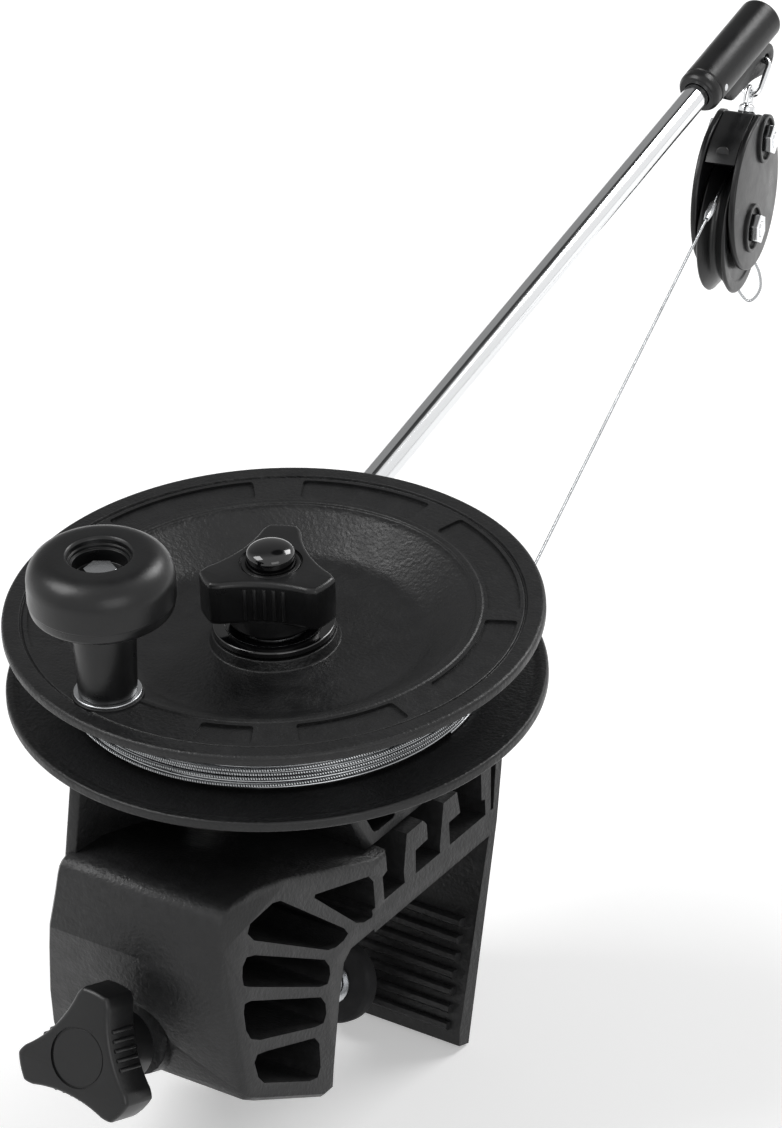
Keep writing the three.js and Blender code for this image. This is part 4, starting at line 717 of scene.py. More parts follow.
@dataclass(frozen=True)
class StarKnob:
    """Three-armed hand knob with fine ribs in its hollows.

    Attributes:
        turn: angle of the first arm.
        low: where the arms start along its axis.
        recess: radius and depth of the recess in its upper face.
        reach: radius at the tips of the arms.
        waist: radius at the middle of the hollows.
        depth: along its axis.
        edge: radius of its rounded edges.
        arms: how many.
        half_angle: half the angle that an arm takes up.
        tip_share: share of it that is round.
        hollow_share: share of a hollow that is round.
        ribs: in each hollow, and rib_pitch: from rib to rib.
        rib_proud: radius of a rib, and rib_root: how far it goes in.
        rib_ends: how far a rib ends inside the lower and the upper face.
        rib_edge: radius of a rib's rounded ends.
    """

    turn: float
    low: float
    recess: Point2
    reach: float = 25.4
    waist: float = 14.5
    depth: float = 17
    edge: float = 1.9
    arms: int = 3
    half_angle: float = 15
    tip_share: float = 0.8
    hollow_share: float = 0.86
    ribs: int = 5
    rib_pitch: float = 3.4
    rib_proud: float = 0.8
    rib_root: float = 1.5
    rib_ends: Point2 = (2.2, 2.6)
    rib_edge: float = 0.3

    def _half_hollow(self) -> float:
        """Returns half the angle of a hollow, in radians."""
        return math.pi / self.arms - math.radians(self.half_angle)

    def _bow(self) -> float:
        """Returns the radius of the hollows between the arms."""
        across = self.reach * math.cos(self._half_hollow())
        return (self.reach ** 2 + self.waist ** 2 - 2 * across * self.waist) / (2 * (across - self.waist))

    def _outline(self) -> list[Point2]:
        """Draws the arms.

        Returns:
            Their outline.
        """
        bow = self._bow()
        sweep = math.asin(self.reach * math.sin(self._half_hollow()) / bow) * self.hollow_share
        tip = math.radians(self.half_angle) * self.tip_share
        made: list[Point2] = []
        for i in range(self.arms):
            arm = math.radians(self.turn) + TURN * i / self.arms
            side = arm + math.pi / self.arms
            back = side + math.pi
            made += arc(0, 0, self.reach, arm - tip, arm + tip, 8)
            made += arc(*polar(self.waist + bow, side), bow, back + sweep, back - sweep, 16)
        return smoothed(made, 2)

    def build(self, mesh: Mesh) -> None:
        """Builds the knob.

        Args:
            mesh: takes it.
        """
        high, bow = self.low + self.depth, self._bow()
        mesh.slab(self._outline(), self.low, high, self.edge, *self.recess, steps=5)
        for i in range(self.arms * self.ribs):
            side = self.turn + 180 * (1 + 2 * (i // self.ribs)) / self.arms
            offset = (i % self.ribs - (self.ribs - 1) / 2) * self.rib_pitch
            surface = self.waist + bow - math.sqrt(bow ** 2 - offset ** 2)
            root = surface - self.rib_root
            rib = arc(surface, offset, self.rib_proud, -QUARTER, QUARTER, 6)
            start = len(mesh.points)
            mesh.slab([(root, offset - self.rib_proud), *rib, (root, offset + self.rib_proud)],
                      self.low + self.rib_ends[0], high - self.rib_ends[1], self.rib_edge, steps=2)
            mesh.moved(turned("Z", side), start)


@dataclass
class Clamp:
    """Clamp body, screw with its thread, knob, collar and pad.

    Attributes:
        knob: its arms, hub: the hub towards the collar, disc: the bare disc on its face.
        collar: the bright collar behind the knob, and tip: the screw's plain tip inside the pad.
        screw_radius: over the thread's crests, screw_sides: points round it, turn_steps: pieces along
            one turn of the thread, rod: where the threaded rod starts and ends.
        pitch: of the thread, thread: its depth, run_out: the length over which it fades, lead_in: how
            far the ends taper.
        crest: height and steepness of the wave that makes a groove.
        pad: from its socket round to the edge of its face.
        pad_rings: outer radii of the rings in the pad's face, and ring_cut: one ring's corners from there.
    """

    knob: StarKnob = StarKnob(84, 25.9, (11, 0.8))
    hub: Corners = ((6, 27.9), (13, 27.9), (13, 14.6, 0.8), (6, 14.6))
    disc: Corners = ((0, 42), (10.2, 42, 0.4), (10.4, 42.35, 0.2), (9.9, 42.4, 0.2), (0, 42.4))
    collar: Corners = ((6.05, 11.05), (10.1, 11.05, 0.3), (10.5, 11.5, 0.3), (10.5, 13.6, 0.3),
                       (10.1, 14, 0.3), (6.05, 14))
    screw_radius: float = 5.8
    screw_sides: int = 40
    turn_steps: int = 8
    rod: Point2 = (-36.9, 115.4)
    tip: Corners = ((0, 114.4), (4.2, 114.4), (4.2, 121.9, 0.4), (0, 121.9))
    pitch: float = 3.0
    thread: float = 0.9
    run_out: float = 2.0
    lead_in: float = 0.35
    crest: Point2 = (1.6, 5.0)
    pad: Corners = ((0, 122.6), (4.5, 122.6), (4.5, 117.27), (14.4, 117.27, 0.6), (15.5, 118.47, 0.8),
                    (15.5, 123.07, 0.8), (14.3, 124.27, 0.8))
    pad_rings: tuple[float, ...] = (12.6, 9.6, 6.6, 3.6)
    ring_cut: Corners = ((0, 0, 0.2), (-0.3, -0.7, 0.2), (-1.2, -0.7, 0.2), (-1.5, 0, 0.2))

    def build(self) -> list[bpy.types.Object]:
        """Builds the clamp.

        Returns:
            Its pieces.
        """
        outward = SCREW.matrix(Facing.AGAINST_Y)
        knob = Mesh()
        self.knob.build(knob)
        knob.lathe(self.hub, steps=72).lathe(self.disc, steps=72, closed=False)
        collar = Mesh().lathe(self.collar, steps=72)
        return [
            dressed("clamp_body", "frame", MOULDED, width=0.7, sharp=MOULDED_SHARP),
            knob.piece("clamp_knob_form", "clamp_screw", SMOOTH, outward, "clamp_knob"),
            collar.piece("clamp_collar_form", "clamp_screw", BRIGHT, outward, "clamp_knob_collar"),
            self._screw(),
            self._pad(),
        ]

    def _screw(self) -> bpy.types.Object:
        """Builds the screw as one rod with a rolled thread.

        Returns:
            The piece.
        """
        start, end = self.rod
        mesh, rows = Mesh(), []
        count = int((end - start) / self.pitch * self.turn_steps)
        for i in range(count + 1):
            height = start + (end - start) * i / count
            fade = min(1.0, (height - start) / self.run_out, (end - height) / self.run_out)
            loop = []
            for j in range(self.screw_sides):
                phase = (height / self.pitch - j / self.screw_sides) % 1
                groove = max(0.0, min(1.0, self.crest[0] - abs(phase - 0.5) * self.crest[1]))
                radius = self.screw_radius - self.thread * groove * fade - self.lead_in * (1 - fade)
                loop.append((*polar(radius, TURN * j / self.screw_sides), height))
            rows.append(mesh.ring(loop))
        mesh.grid(rows)
        mesh.cap(rows[0])
        mesh.cap(rows[-1])
        mesh.lathe(self.tip, steps=48, closed=False)
        place = SCREW.matrix(Facing.ALONG_Y)
        return mesh.piece("clamp_screw_form", "clamp_screw", STEEL, place, "clamp_screw")

    def _pad(self) -> bpy.types.Object:
        """Builds the rubber pad with rings in its face.

        Returns:
            The piece.
        """
        face = self.pad[-1][1]
        rings = [(ring + out, face + up, soft) for ring in self.pad_rings for out, up, soft in self.ring_cut]
        mesh = Mesh().lathe([*self.pad, *rings, (0, face)], closed=False)
        return mesh.piece("clamp_pad_form", "clamp_foot", RUBBER, SCREW.matrix(Facing.ALONG_Y), "clamp_pad")


@dataclass
class Base:
    """Base frame on the clamp, and the boom with its cap and screws.

    Attributes:
        wall: the left side wall seen from the side, and wall_span: its two faces.
        boom: the rod, and cap: the end cap with a ring line where it grips the rod.
        lug_front: the lug's edge before its round end, and lug_back: the edge after it.
        lug_hole: centre of the lug's hole, lug_end: radius of the round end about it, lug_angles: where
            that end starts and stops, in radians.
        lug_hole_radius: of that hole, and lug_thickness: of the lug.
        hair: half the angle of the slit that joins the hole to the edge, in radians.
    """

    wall: Corners = ((-110, 51, 1), (-93.6, 51.4), (-75.8, 45.8), (-45, 35), (-33, 36), (-50, 83.6, 3),
                     (-103.5, 83.6, 4))
    wall_span: Point2 = (-33.2, -28.4)
    boom: Corners = ((0, -9), (5, -9, 0.6), (5, 415, 0.6), (0, 415))
    cap: Corners = (
        (0, 415.3), (5.3, 415.3), (5.3, 377), (7.3, 377, 0.5), (8.43, 378.6, 1), (8.43, 381.2, 0.3),
        (8.08, 381.5, 0.2), (8.08, 382.1, 0.2), (8.43, 382.4, 0.3), (8.43, 428, 0.9), (7.23, 429.2, 0.9),
        (0, 429.2))
    lug_front: Corners = ((391.3, -5.4), (395, -15, 2), (399, -18.5, 2), (414, -19.5, 3))
    lug_back: Corners = ((421.7, -3, 2), (415.6, -3), (415.6, -5.4))
    lug_hole: Point2 = (426.1, -17.6)
    lug_hole_radius: float = 2.0
    lug_end: float = 6.0
    lug_angles: Point2 = (-0.6 * math.pi, 0.3 * math.pi)
    lug_thickness: float = 3.0
    hair: float = 0.002

    def build(self) -> list[bpy.types.Object]:
        """Builds the base and the boom.

        Returns:
            Their pieces.
        """
        wall = Mesh().slab(filleted(self.wall, steps=6), *self.wall_span, edge=1.1, steps=3)
        boom = Mesh().lathe(self.boom, steps=128, closed=False)
        cap = Mesh().lathe(self.cap, closed=False, fine=8).moved(Facing.ALONG_Y.value)
        start, half = len(cap.points), self.lug_thickness / 2
        cap.slab(self._lug(), -half, half, edge=0.35, steps=2).moved(Facing.ALONG_X.value, start)
        return [
            dressed("base_frame", "frame", MOULDED, width=0.8, sharp=MOULDED_SHARP),
            dressed("boom_lock_screw", "frame", STEEL, width=0.5),
            wall.piece("base_side_wall", "frame", MOULDED, Facing.ALONG_X.value),
            boom.piece("boom_form", "frame", BRIGHT, BOOM.matrix(Facing.ALONG_Y), "boom"),
            cap.piece("boom_cap_form", "frame", SMOOTH, BOOM.matrix(), "boom_end_cap"),
            dressed("cap_pin", "frame", STEEL, width=0.3),
        ]

    def _lug(self) -> list[Point2]:
        """Draws the lug, whose round hole is opened to its edge by a hairline slit.

        Returns:
            The outline.
        """
        end = arc(*self.lug_hole, self.lug_end, *self.lug_angles, steps=16)
        outline = filleted([*self.lug_front, *end, *self.lug_back])
        centre = Vector(self.lug_hole)
        near = min(range(len(outline)), key=lambda i: (Vector(outline[i]) - centre).length)
        edge = Vector(outline[near])
        out = edge - centre
        angle = math.atan2(out.y, out.x)
        loop = arc(*centre, self.lug_hole_radius, angle - self.hair, angle - TURN + self.hair, 32)
        side = Vector((-out.y, out.x)).normalized() * (self.hair * self.lug_hole_radius)
        return [*outline[:near], tuple(edge - side), *loop, tuple(edge + side), *outline[near + 1:]]


@dataclass
class Spool:
    """Spool flanges with the dish, its wells and the crank seat.

    Attributes:
        steps: pieces round it.
        lower: the lower flange with its raised rim.
        upper: the upper flange with its ring line and dish.
        seat: the crank's seat.
        wells: first and last angle of each shallow well in the upper flange.
        well_radii: inner and outer radius of the wells, and well_corner: how far their corners round.
        well_span: from a well's floor to above the flange.
        bore_radius: of the crank bolt's bore, and bore_span: from its foot to above the flange.
        corner_share: how much of an arc its corner takes, in corner lengths.
    """

    steps: int = 256
    lower: Corners = (
        (10.1, 0), (20, 0, 0.5), (22.4, 2.4, 0.5), (69.6, 2.4, 0.5), (72.5, 0.8, 0.5), (90.3, 0.8, 0.4),
        (91.1, 0, 0.3), (94.3, 0, 0.5), (95, 0.7, 0.5), (95, 3.4, 0.6), (94.3, 4.1, 0.6), (92.1, 4.1, 0.6),
        (90.1, 3.1, 0.6), (69.3, 3.1), (69.3, 5.2), (20, 5.2), (20, 15.5), (10.1, 15.5))
    upper: Corners = (
        (10.1, 15.5), (20, 15.5), (20, 16.2), (51.5, 16.2), (66.8, 25.7), (69.3, 25.7), (69.3, 26.9),
        (94.3, 26.9, 0.5), (95, 27.6, 0.5), (95, 30.1, 0.7), (94.1, 31, 0.7), (88.7, 31, 0.2),
        (88.4, 29.9, 0.2), (87.8, 29.9, 0.2), (87.4, 30.6, 0.3), (73.2, 30.6, 0.3), (72.7, 31, 0.3),
        (70.8, 31, 0.4), (70.4, 30.1, 0.3), (68.5, 29.6, 1.2), (53.4, 19.9, 2.6), (49.6, 19, 1.6),
        (22.9, 19, 0.6), (22, 23, 0.4), (10.1, 23))
    seat: Corners = ((3.1, 29), (12.6, 29), (12.6, 31.4, 0.35), (3.1, 31.4))
    wells: tuple[Point2, ...] = (
        (130, 168), (85, 118), (31, 75), (-9, 26), (-49, -22), (-74, -60), (190, 228))
    well_radii: Point2 = (74.6, 86.0)
    well_corner: float = 2.4
    well_span: Point2 = (29.6, 33)
    corner_share: float = 1.2
    bore_radius: float = 3.1
    bore_span: Point2 = (25, 33)

    def build(self) -> list[bpy.types.Object]:
        """Builds both flanges and the seat.

        Returns:
            The pieces.
        """
        place = SPOOL.matrix()
        lower = Mesh().lathe(self.lower, self.steps).piece(
            "spool_lower_form", "spool", MOULDED, place, "spool_lower")
        upper = Mesh().lathe(self.upper, self.steps).piece(
            "spool_upper_form", "spool", MOULDED, place, "spool_upper")
        cutter = Mesh()
        for low, high in self.wells:
            cutter.slab(self._well(math.radians(low), math.radians(high)), *self.well_span)
        x, y, _ = Vector(CRANK.origin) - Vector(SPOOL.origin)
        cutter.slab(circle(self.bore_radius, 32, x, y), *self.bore_span)
        cut(upper, cutter, place)
        seat = Mesh().lathe(self.seat)
        return [lower, upper, seat.piece("crank_seat_form", "spool", MOULDED, CRANK.matrix())]

    def _well(self, low: float, high: float) -> list[Point2]:
        """Draws one well.

        Args:
            low: first angle, in radians.
            high: last angle, in radians.

        Returns:
            The outline.
        """
        soft = self.well_corner
        inner, outer = self.well_radii
        corners: list[tuple[float, ...]] = []
        for radius, start, end in ((outer, low, high), (inner, high, low)):
            skip = math.copysign(self.corner_share * soft / radius, end - start)
            corners += [(*polar(radius, start), soft), *arc(0, 0, radius, start + skip, end - skip, 40),
                        (*polar(radius, end), soft)]
        return filleted(corners, steps=5)


@dataclass
class Brake:
    """Pressure skirt, thrust ring, brake knob and its glossy cap.

    Attributes:
        skirt: the glossy skirt on the dish, and ring: the thrust ring on it.
        knob: its arms, hub: the hub under them, bezel: the ring round the cap.
        cap_radius: of the cap, from cap_foot up to the dome that rises by dome_rise from dome_foot.
        dome_power: how blunt the dome is, and dome_steps: pieces from its foot to its tip.
    """

    skirt: Corners = ((7.3, 24), (21.7, 24, 0.2), (21.7, 26.2, 0.9), (17.4, 26.2, 0.4), (17, 25.8, 0.2),
                      (7.3, 25.8))
    ring: Corners = ((5.5, 26.2), (12, 26.2, 0.2), (12, 27.4, 0.3), (5.5, 27.4))
    knob: StarKnob = StarKnob(-5, 33.3, (11.2, 1.2))
    hub: Corners = ((8.1, 27.7), (15.2, 27.7, 0.5), (16, 28.6, 0.6), (16, 34.8), (8.1, 34.8))
    bezel: Corners = ((8.8, 49.1), (10.4, 49.1), (10.4, 49.8, 0.2), (9.5, 50, 0.2), (8.8, 49.8, 0.2))
    cap_radius: float = 8.65
    cap_foot: float = 46.4
    dome_foot: float = 53.1
    dome_rise: float = 4.2
    dome_power: float = 0.8
    dome_steps: int = 14

    def build(self) -> list[bpy.types.Object]:
        """Builds the brake.

        Returns:
            Its pieces.
        """
        place, radius, foot = SPOOL.matrix(), self.cap_radius, self.cap_foot
        skirt = Mesh().lathe(self.skirt, steps=128, fine=6)
        ring = Mesh().lathe(self.ring)
        knob = Mesh()
        self.knob.build(knob)
        knob.lathe(self.hub).lathe(self.bezel)
        bends = [QUARTER * i / self.dome_steps for i in range(self.dome_steps)]
        dome = [(radius * math.cos(bend), self.dome_foot + self.dome_rise * math.sin(bend) ** self.dome_power)
                for bend in bends]
        tip = (0, self.dome_foot + self.dome_rise)
        cap = Mesh().lathe([(0, foot), (radius, foot), *dome, tip], closed=False)
        return [
            skirt.piece("pressure_skirt_form", "frame", GLOSS, place, "pressure_skirt"),
            ring.piece("thrust_ring_form", "brake_ring", STEEL, place, "brake_thrust_ring"),
            knob.piece("brake_knob_form", "brake", SMOOTH, place, "brake_knob"),
            cap.piece("brake_cap_form", "brake", GLOSS, place, "brake_cap"),
        ]


@dataclass
class Crank:
    """Stem and mushroom grip of the crank.

    Attributes:
        washer: the washer under the stem, and stem: the stem.
        grip_rim: the grip up to its shoulder.
        shoulder: centre and radius of the shoulder.
        grip_mouth: the grip from its shoulder down into its mouth.
    """

    washer: Corners = ((3.1, 31.4), (11.9, 31.4, 0.2), (11.9, 32.2, 0.35), (3.1, 32.2))
    stem: Corners = ((3.1, 32.2), (10.3, 32.2, 0.4), (10.55, 38, 2), (11.9, 73.2, 0.3), (3.1, 73.2))
    grip_rim: Corners = ((12.2, 65), (23.4, 65, 0.6), (25, 66.2, 1.2), (25.65, 69.6, 0.3), (25.65, 69.9, 0.1),
                         (25.8, 70.1, 0.2))
    shoulder: Point3 = (16.3, 77.5, 9.5)
    grip_mouth: Corners = (
        (11.9, 87, 0.5), (11.1, 86, 0.3), (11.1, 84.4, 0.2), (10.5, 84.3, 0.2), (10.5, 83.1, 0.2),
        (9.6, 83, 0.3), (9.6, 77.9, 0.3), (3.5, 77.9), (3.5, 73.5), (12.2, 73.5))

    def build(self) -> list[bpy.types.Object]:
        """Builds the crank.

        Returns:
            Its pieces.
        """
        place = CRANK.matrix()
        grip = [*self.grip_rim, *arc(*self.shoulder, 0, QUARTER, 14), *self.grip_mouth]
        return [
            Mesh().lathe(self.washer).piece("crank_washer_form", "spool", STEEL, place, "crank_washer"),
            Mesh().lathe(self.stem).piece("crank_stem_form", "spool", SMOOTH, place, "crank_stem"),
            Mesh().lathe(grip, steps=128).piece("crank_grip_form", "grip", SMOOTH, place, "crank_grip"),
            dressed("crank_bolt", "spool", STEEL, width=0.35),
        ]


@dataclass
class Pulley:
    """Link, swivel, pulley block and sheave.

    Attributes:
        cheek_radius: of the round part of a cheek, whose centre stands cheek_rise above the axle.
        top: height of the cheek's flat end above the axle, flat: half the width of that end, top_corner:
            how far its corners round.
        inside: from the block's middle to a cheek, and thickness: of the cheek.
        head: height of the upper bolt above the axle, and seat: inner radius, outer radius and height of
            the raised nut seats, seat_root: how far these go in.
        link: upper centre, lower centre and radius of the link's oval, and eye: those of the swivel's.
        link_wire: radius of the link's wire, eye_wire: of the eye's, barrel: the swivel under its eye.
        spacer_inset: how far the spacer stays inside the cheeks' round edge, spacer_half: half its
            width, roof: height at which it starts, arch: radius of its hollow over the sheave.
        lug: the lug on the spacer, which stands lug_rise above the roof.
        sheave_half: the sheave from its bore to the groove, and groove_foot: the groove's foot.
        bolts: the CAD nodes of the block's bolts and nuts.
    """

    cheek_radius: float = 29.3
    cheek_rise: float = 13.0
    top: float = 42.5
    flat: float = 9.8
    top_corner: float = 1.6
    inside: float = 6.2
    thickness: float = 2.5
    head: float = 34.3
    seat: Point3 = (7.9, 9.4, 1.3)
    seat_root: float = 1.0
    link: Point3 = (-3.5, -12, 3.5)
    link_wire: float = 1.1
    eye: Point3 = (0.9, -2.2, 2.1)
    eye_wire: float = 1.15
    barrel: Corners = ((0, -12.5), (2.2, -12.5, 0.3), (2.2, -7.1), (3, -7.15, 0.2), (3.4, -6.7, 0.4),
                       (3.4, -4.4, 0.8), (2.3, -3.5, 0.5), (0, -3.4))
    spacer_inset: float = 1.2
    spacer_half: float = 5.9
    roof: float = 20.7
    arch: float = 26.7
    lug: Corners = ((0, 20), (2.6, 20), (2.6, 25.6, 0.4), (0, 25.6))
    lug_rise: float = 4.16
    sheave_half: Corners = (
        (4.4, -5.6), (9, -5.6, 0.4), (9.6, -4.9, 0.4), (20.6, -4.9, 0.4), (21.2, -5.6, 0.4),
        (24.8, -5.6, 0.5), (25.5, -4.9, 0.5), (25.5, -4.5, 0.3), (21.4, -1.2, 0.8))
    groove_foot: Point3 = (21, 0, 0.9)
    bolts: tuple[str, ...] = ("axle_bolt", "axle_nut", "head_bolt", "head_nut")

    def build(self) -> list[bpy.types.Object]:
        """Builds everything that hangs from the boom.

        Returns:
            The pieces.
        """
        place = BLOCK.matrix(Facing.ALONG_X)
        far_half = [(radius, -height, *soft) for radius, height, *soft in reversed(self.sheave_half)]
        sheave = Mesh().lathe([*self.sheave_half, self.groove_foot, *far_half], steps=144)
        return [*self._hanger(), self._cheek("right", 1, place), self._cheek("left", -1, place),
                self._spacer(place), sheave.piece("sheave_form", "sheave", SMOOTH, place, "sheave"),
                *(dressed(node, "block", BRIGHT, width=0.45, segments=3) for node in self.bolts)]

    def _outline(self, inset_by: float) -> list[Point2]:
        """Draws a cheek.

        Args:
            inset_by: how much smaller its round part is.

        Returns:
            The outline.
        """
        radius = self.cheek_radius - inset_by
        rise = self.top - self.cheek_rise
        lean = math.atan2(rise, self.flat) - math.acos(radius / math.hypot(rise, self.flat))
        round_part = arc(0, self.cheek_rise, radius, math.pi - lean, TURN + lean, 96)
        soft = self.top_corner
        return filleted([(self.flat, self.top, soft), (-self.flat, self.top, soft), *round_part], steps=6)

    def _hanger(self) -> list[bpy.types.Object]:
        """Builds the link ring and the swivel.

        Returns:
            Both pieces.
        """
        line = [Vector((x, 0, z)) for x, z in oval(*self.link, steps=20)]
        link = Mesh().tube(line, self.link_wire, sides=24, closed=True)
        line = [Vector((0, y, z)) for y, z in oval(*self.eye, steps=16)]
        swivel = Mesh().tube(line, self.eye_wire, sides=20, closed=True)
        swing, lean = math.radians(SWIVEL.yaw - LINK.yaw), math.radians(SWIVEL.pitch)
        twist = math.atan(math.tan(swing) * math.cos(lean))
        swivel.lathe(self.barrel, steps=64, closed=False).moved(Matrix.Rotation(-twist, 4, "Z"))
        return [link.piece("link_form", "link", BRIGHT, LINK.matrix(), "link_ring"),
                swivel.piece("swivel_form", "swivel", BRIGHT, SWIVEL.matrix(), "swivel_barrel")]

    def _cheek(self, name: str, side: int, place: Matrix) -> bpy.types.Object:
        """Builds a cheek with its raised nut seats.

        Args:
            name: which cheek.
            side: 1 or -1, on which side of the block it is.
            place: the block's frame.

        Returns:
            The piece.
        """
        outside = self.inside + self.thickness
        mesh = Mesh().slab(self._outline(0), *sorted((side * self.inside, side * outside)), edge=0.8)
        inner, outer, proud = self.seat
        tip, root = side * (outside + proud), side * (outside - self.seat_root)
        for height in (0, self.head):
            start = len(mesh.points)
            mesh.lathe([(inner, root), (outer, root), (outer, tip, 0.5), (inner, tip, 0.5)], steps=72)
            mesh.moved(Matrix.Translation((0, height, 0)), start)
        return mesh.piece(f"cheek_{name}_form", "block", SMOOTH, place, f"block_cheek_{name}")

    def _spacer(self, place: Matrix) -> bpy.types.Object:
        """Builds the spacer between the cheeks, arched over the sheave, with its lug.

        Args:
            place: the block's frame.

        Returns:
            The piece.
        """
        roof, rise = self.roof, self.cheek_rise
        outer = sorted((p for p in self._outline(self.spacer_inset) if p[1] > roof),
                       key=lambda p: math.atan2(p[1] - rise, p[0]))
        foot = math.asin(roof / self.arch)
        inner = arc(0, 0, self.arch, math.pi - foot, foot, 40)
        reach = math.sqrt((self.cheek_radius - self.spacer_inset) ** 2 - (roof - rise) ** 2)
        outline = [(reach, roof), *outer, (-reach, roof), *inner]
        mesh = Mesh().slab(outline, -self.spacer_half, self.spacer_half, edge=0.3, steps=2)
        start = len(mesh.points)
        mesh.lathe(self.lug, steps=40, closed=False)
        mesh.moved(Matrix.Translation((0, roof + self.lug_rise, 0)) @ turned("Y", -90), start)
        return mesh.piece("spacer_form", "block", SMOOTH, place, "block_spacer")


@dataclass
class Cable:
    """Stranded cable: inner layers, outer turns, taut run, stretch over the sheave and end loop.

    Attributes:
        wire: radius of the cable, with strands: how many show, and lay: the length of one turn of them.
        step: spacing of the points along the cable.
        clear: length of the taut run that rides on the spool, and joint: the gap after it.
        core: radius over the inner layers, core_span: their lowest and highest turn, core_gap: between
            two turns, core_wave: how far they drift, core_paces: how often.
        radius: of the cable's middle where it leaves the drum, and settle: how much lower the turns lie.
        pitch: from turn to turn of the outer winding, which has turns of them and starts at height first.
        swings: turns, start and size of the winding's two drifts.
        crossing: turn at which it climbs over itself, how fast, and how far it then stands out.
        fades: turns over which the drift starts and ends, and the last turn comes out; last_turn: share
            of a turn that lies as far out as the taut run.
        wrap: radius of the cable's middle on the sheave, and bend_steps: pieces of its bend there.
        before: how far before the sheave the stop sleeve starts, stop_gap: from the taut run to it,
            near_sheave: how far before the sheave the bend starts, below: how far below the end sleeve is.
        tail: how far the cable goes on inside the end sleeve, in two steps.
        stop_sleeve: the sleeve before the sheave, and end_sleeve: the one over the end loop.
        loop: corners of half the end loop, from the sleeve down.
    """

    wire: float = 0.58
    strands: int = 6
    lay: float = 5.5
    step: float = 0.55
    clear: float = 15.0
    joint: float = 0.4
    core: float = 73.85
    core_span: Point2 = (3.75, 26.25)
    core_gap: float = 0.02
    core_wave: float = 0.12
    core_paces: Point2 = (3.1, 0.37)
    radius: float = 75.3
    settle: float = 0.87
    pitch: float = 2.3
    turns: int = 5
    first: float = 4.7
    swings: tuple[Point3, Point3] = ((1.0, 0.6, 0.72), (2.0, 2.1, 0.4))
    crossing: Point3 = (3.2, 14, 1.062)
    fades: Point3 = (0.6, 0.5, 0.35)
    last_turn: float = 0.02
    wrap: float = 21.88
    bend_steps: int = 40
    before: float = 38.0
    stop_gap: float = 0.7
    near_sheave: float = 0.5
    below: float = 15.0
    tail: Point2 = (7.5, 18)
    stop_sleeve: Corners = ((0.62, 0), (0.95, 0, 0.1), (1.5, 4.3, 0.8), (1.5, 12.2, 0.3), (0.95, 13, 0.1),
                            (0.62, 13))
    end_sleeve: Corners = (
        (0.7, -9), (1.6, -9, 0.3), (2, -8.4, 0.3), (2, -6.3, 0.2), (1.85, -6, 0.2), (1.85, -3, 0.2),
        (2, -2.7, 0.2), (2, -0.6, 0.3), (1.6, 0, 0.3), (0.7, 0))
    loop: Corners = ((-1, -4.5), (-1, -9.3), (-4.5, -17.8), (-4.5, -25.5), (0, -31))

    def __post_init__(self) -> None:
        """Finds where the taut run leaves the drum and meets the sheave."""
        axle, spool = Vector(BLOCK.origin), Vector(SPOOL.origin)
        yaw = math.radians(BLOCK.yaw)
        self.rearward = Vector((-math.sin(yaw), math.cos(yaw), 0))
        height = spool.z + self.first + self.turns * self.pitch
        self.touch = QUARTER - math.atan2(height - axle.z - self.wrap, axle.y - spool.y)
        self.top = self._on_sheave(self.touch)
        flat = Vector((self.top.x, self.top.y - spool.y))
        self.leave = math.atan2(flat.y, flat.x) - math.acos(self.radius / flat.length)
        x, y = polar(self.radius, self.leave)
        self.start = Vector((x, y + spool.y, height))
        self.ahead = (self.top - self.start).normalized()
        self.stop = self.top - self.ahead * self.before
        self.end = Place(tuple(self._on_sheave(0) - Vector((0, 0, self.below))), BLOCK.yaw)

    def build(self) -> list[bpy.types.Object]:
        """Builds the whole cable.

        Returns:
            Its pieces.
        """
        taut = [self.start + self.ahead * self.clear, self.stop - self.ahead * self.stop_gap]
        rear = self._on_sheave(0)
        bend = [self._on_sheave(self.touch * (1 - i / self.bend_steps)) for i in range(self.bend_steps + 1)]
        down = [rear - Vector((0, 0, drop)) for drop in self.tail]
        over = [self.stop, self.top - self.ahead * self.near_sheave, *bend, *down]
        turn = Vector((0, 0, 1)).rotation_difference(self.ahead).to_matrix().to_4x4()
        stop_place = Matrix.Translation(self.stop * MM) @ turn
        stop, end = Mesh().lathe(self.stop_sleeve, steps=32), Mesh().lathe(self.end_sleeve, steps=40)
        return [
            self._layers(),
            self._strand(self._winding(), "cable_turns_form", "spool", SPOOL.matrix(), "cable_winding"),
            self._strand(self._resampled(taut), "cable_run_form", "frame", HOME, "cable_run"),
            stop.piece("cable_stop_form", "block", STEEL, stop_place, "cable_stop"),
            self._strand(self._resampled(over), "cable_end_form", "block", HOME, "cable_end"),
            end.piece("end_sleeve_form", "block", STEEL, self.end.matrix(), "cable_end_sleeve"),
            self._strand(self._end_loop(), "end_loop_form", "block", self.end.matrix(), "cable_end_loop"),
        ]

    def _on_sheave(self, angle: float) -> Vector:
        """Returns the cable's point at an angle round the axle, in radians from the rear."""
        reach, rise = polar(self.wrap, angle)
        return Vector(BLOCK.origin) + self.rearward * reach + Vector((0, 0, rise))

    def _strand(self, route: list[Vector], name: str, body: str, place: Matrix,
                node: str) -> bpy.types.Object:
        """Builds a length of stranded cable.

        Args:
            route: its middle line.
            name: of the piece.
            body: that it rides on.
            place: its frame.
            node: the CAD node that it stands for.

        Returns:
            The piece.
        """
        mesh = Mesh().tube(route, self.wire, sides=12, lobes=self.strands, lay=self.lay)
        return mesh.piece(name, body, CABLE, place, node, sharp=STRAND_SHARP)

    def _resampled(self, points: list[Vector]) -> list[Vector]:
        """Spaces points evenly along each side of a line.

        Args:
            points: the line's corners.

        Returns:
            The points.
        """
        made = [points[0]]
        for a, b in zip(points, points[1:]):
            count = max(1, round((b - a).length / self.step))
            made += [a.lerp(b, (i + 1) / count) for i in range(count)]
        return made

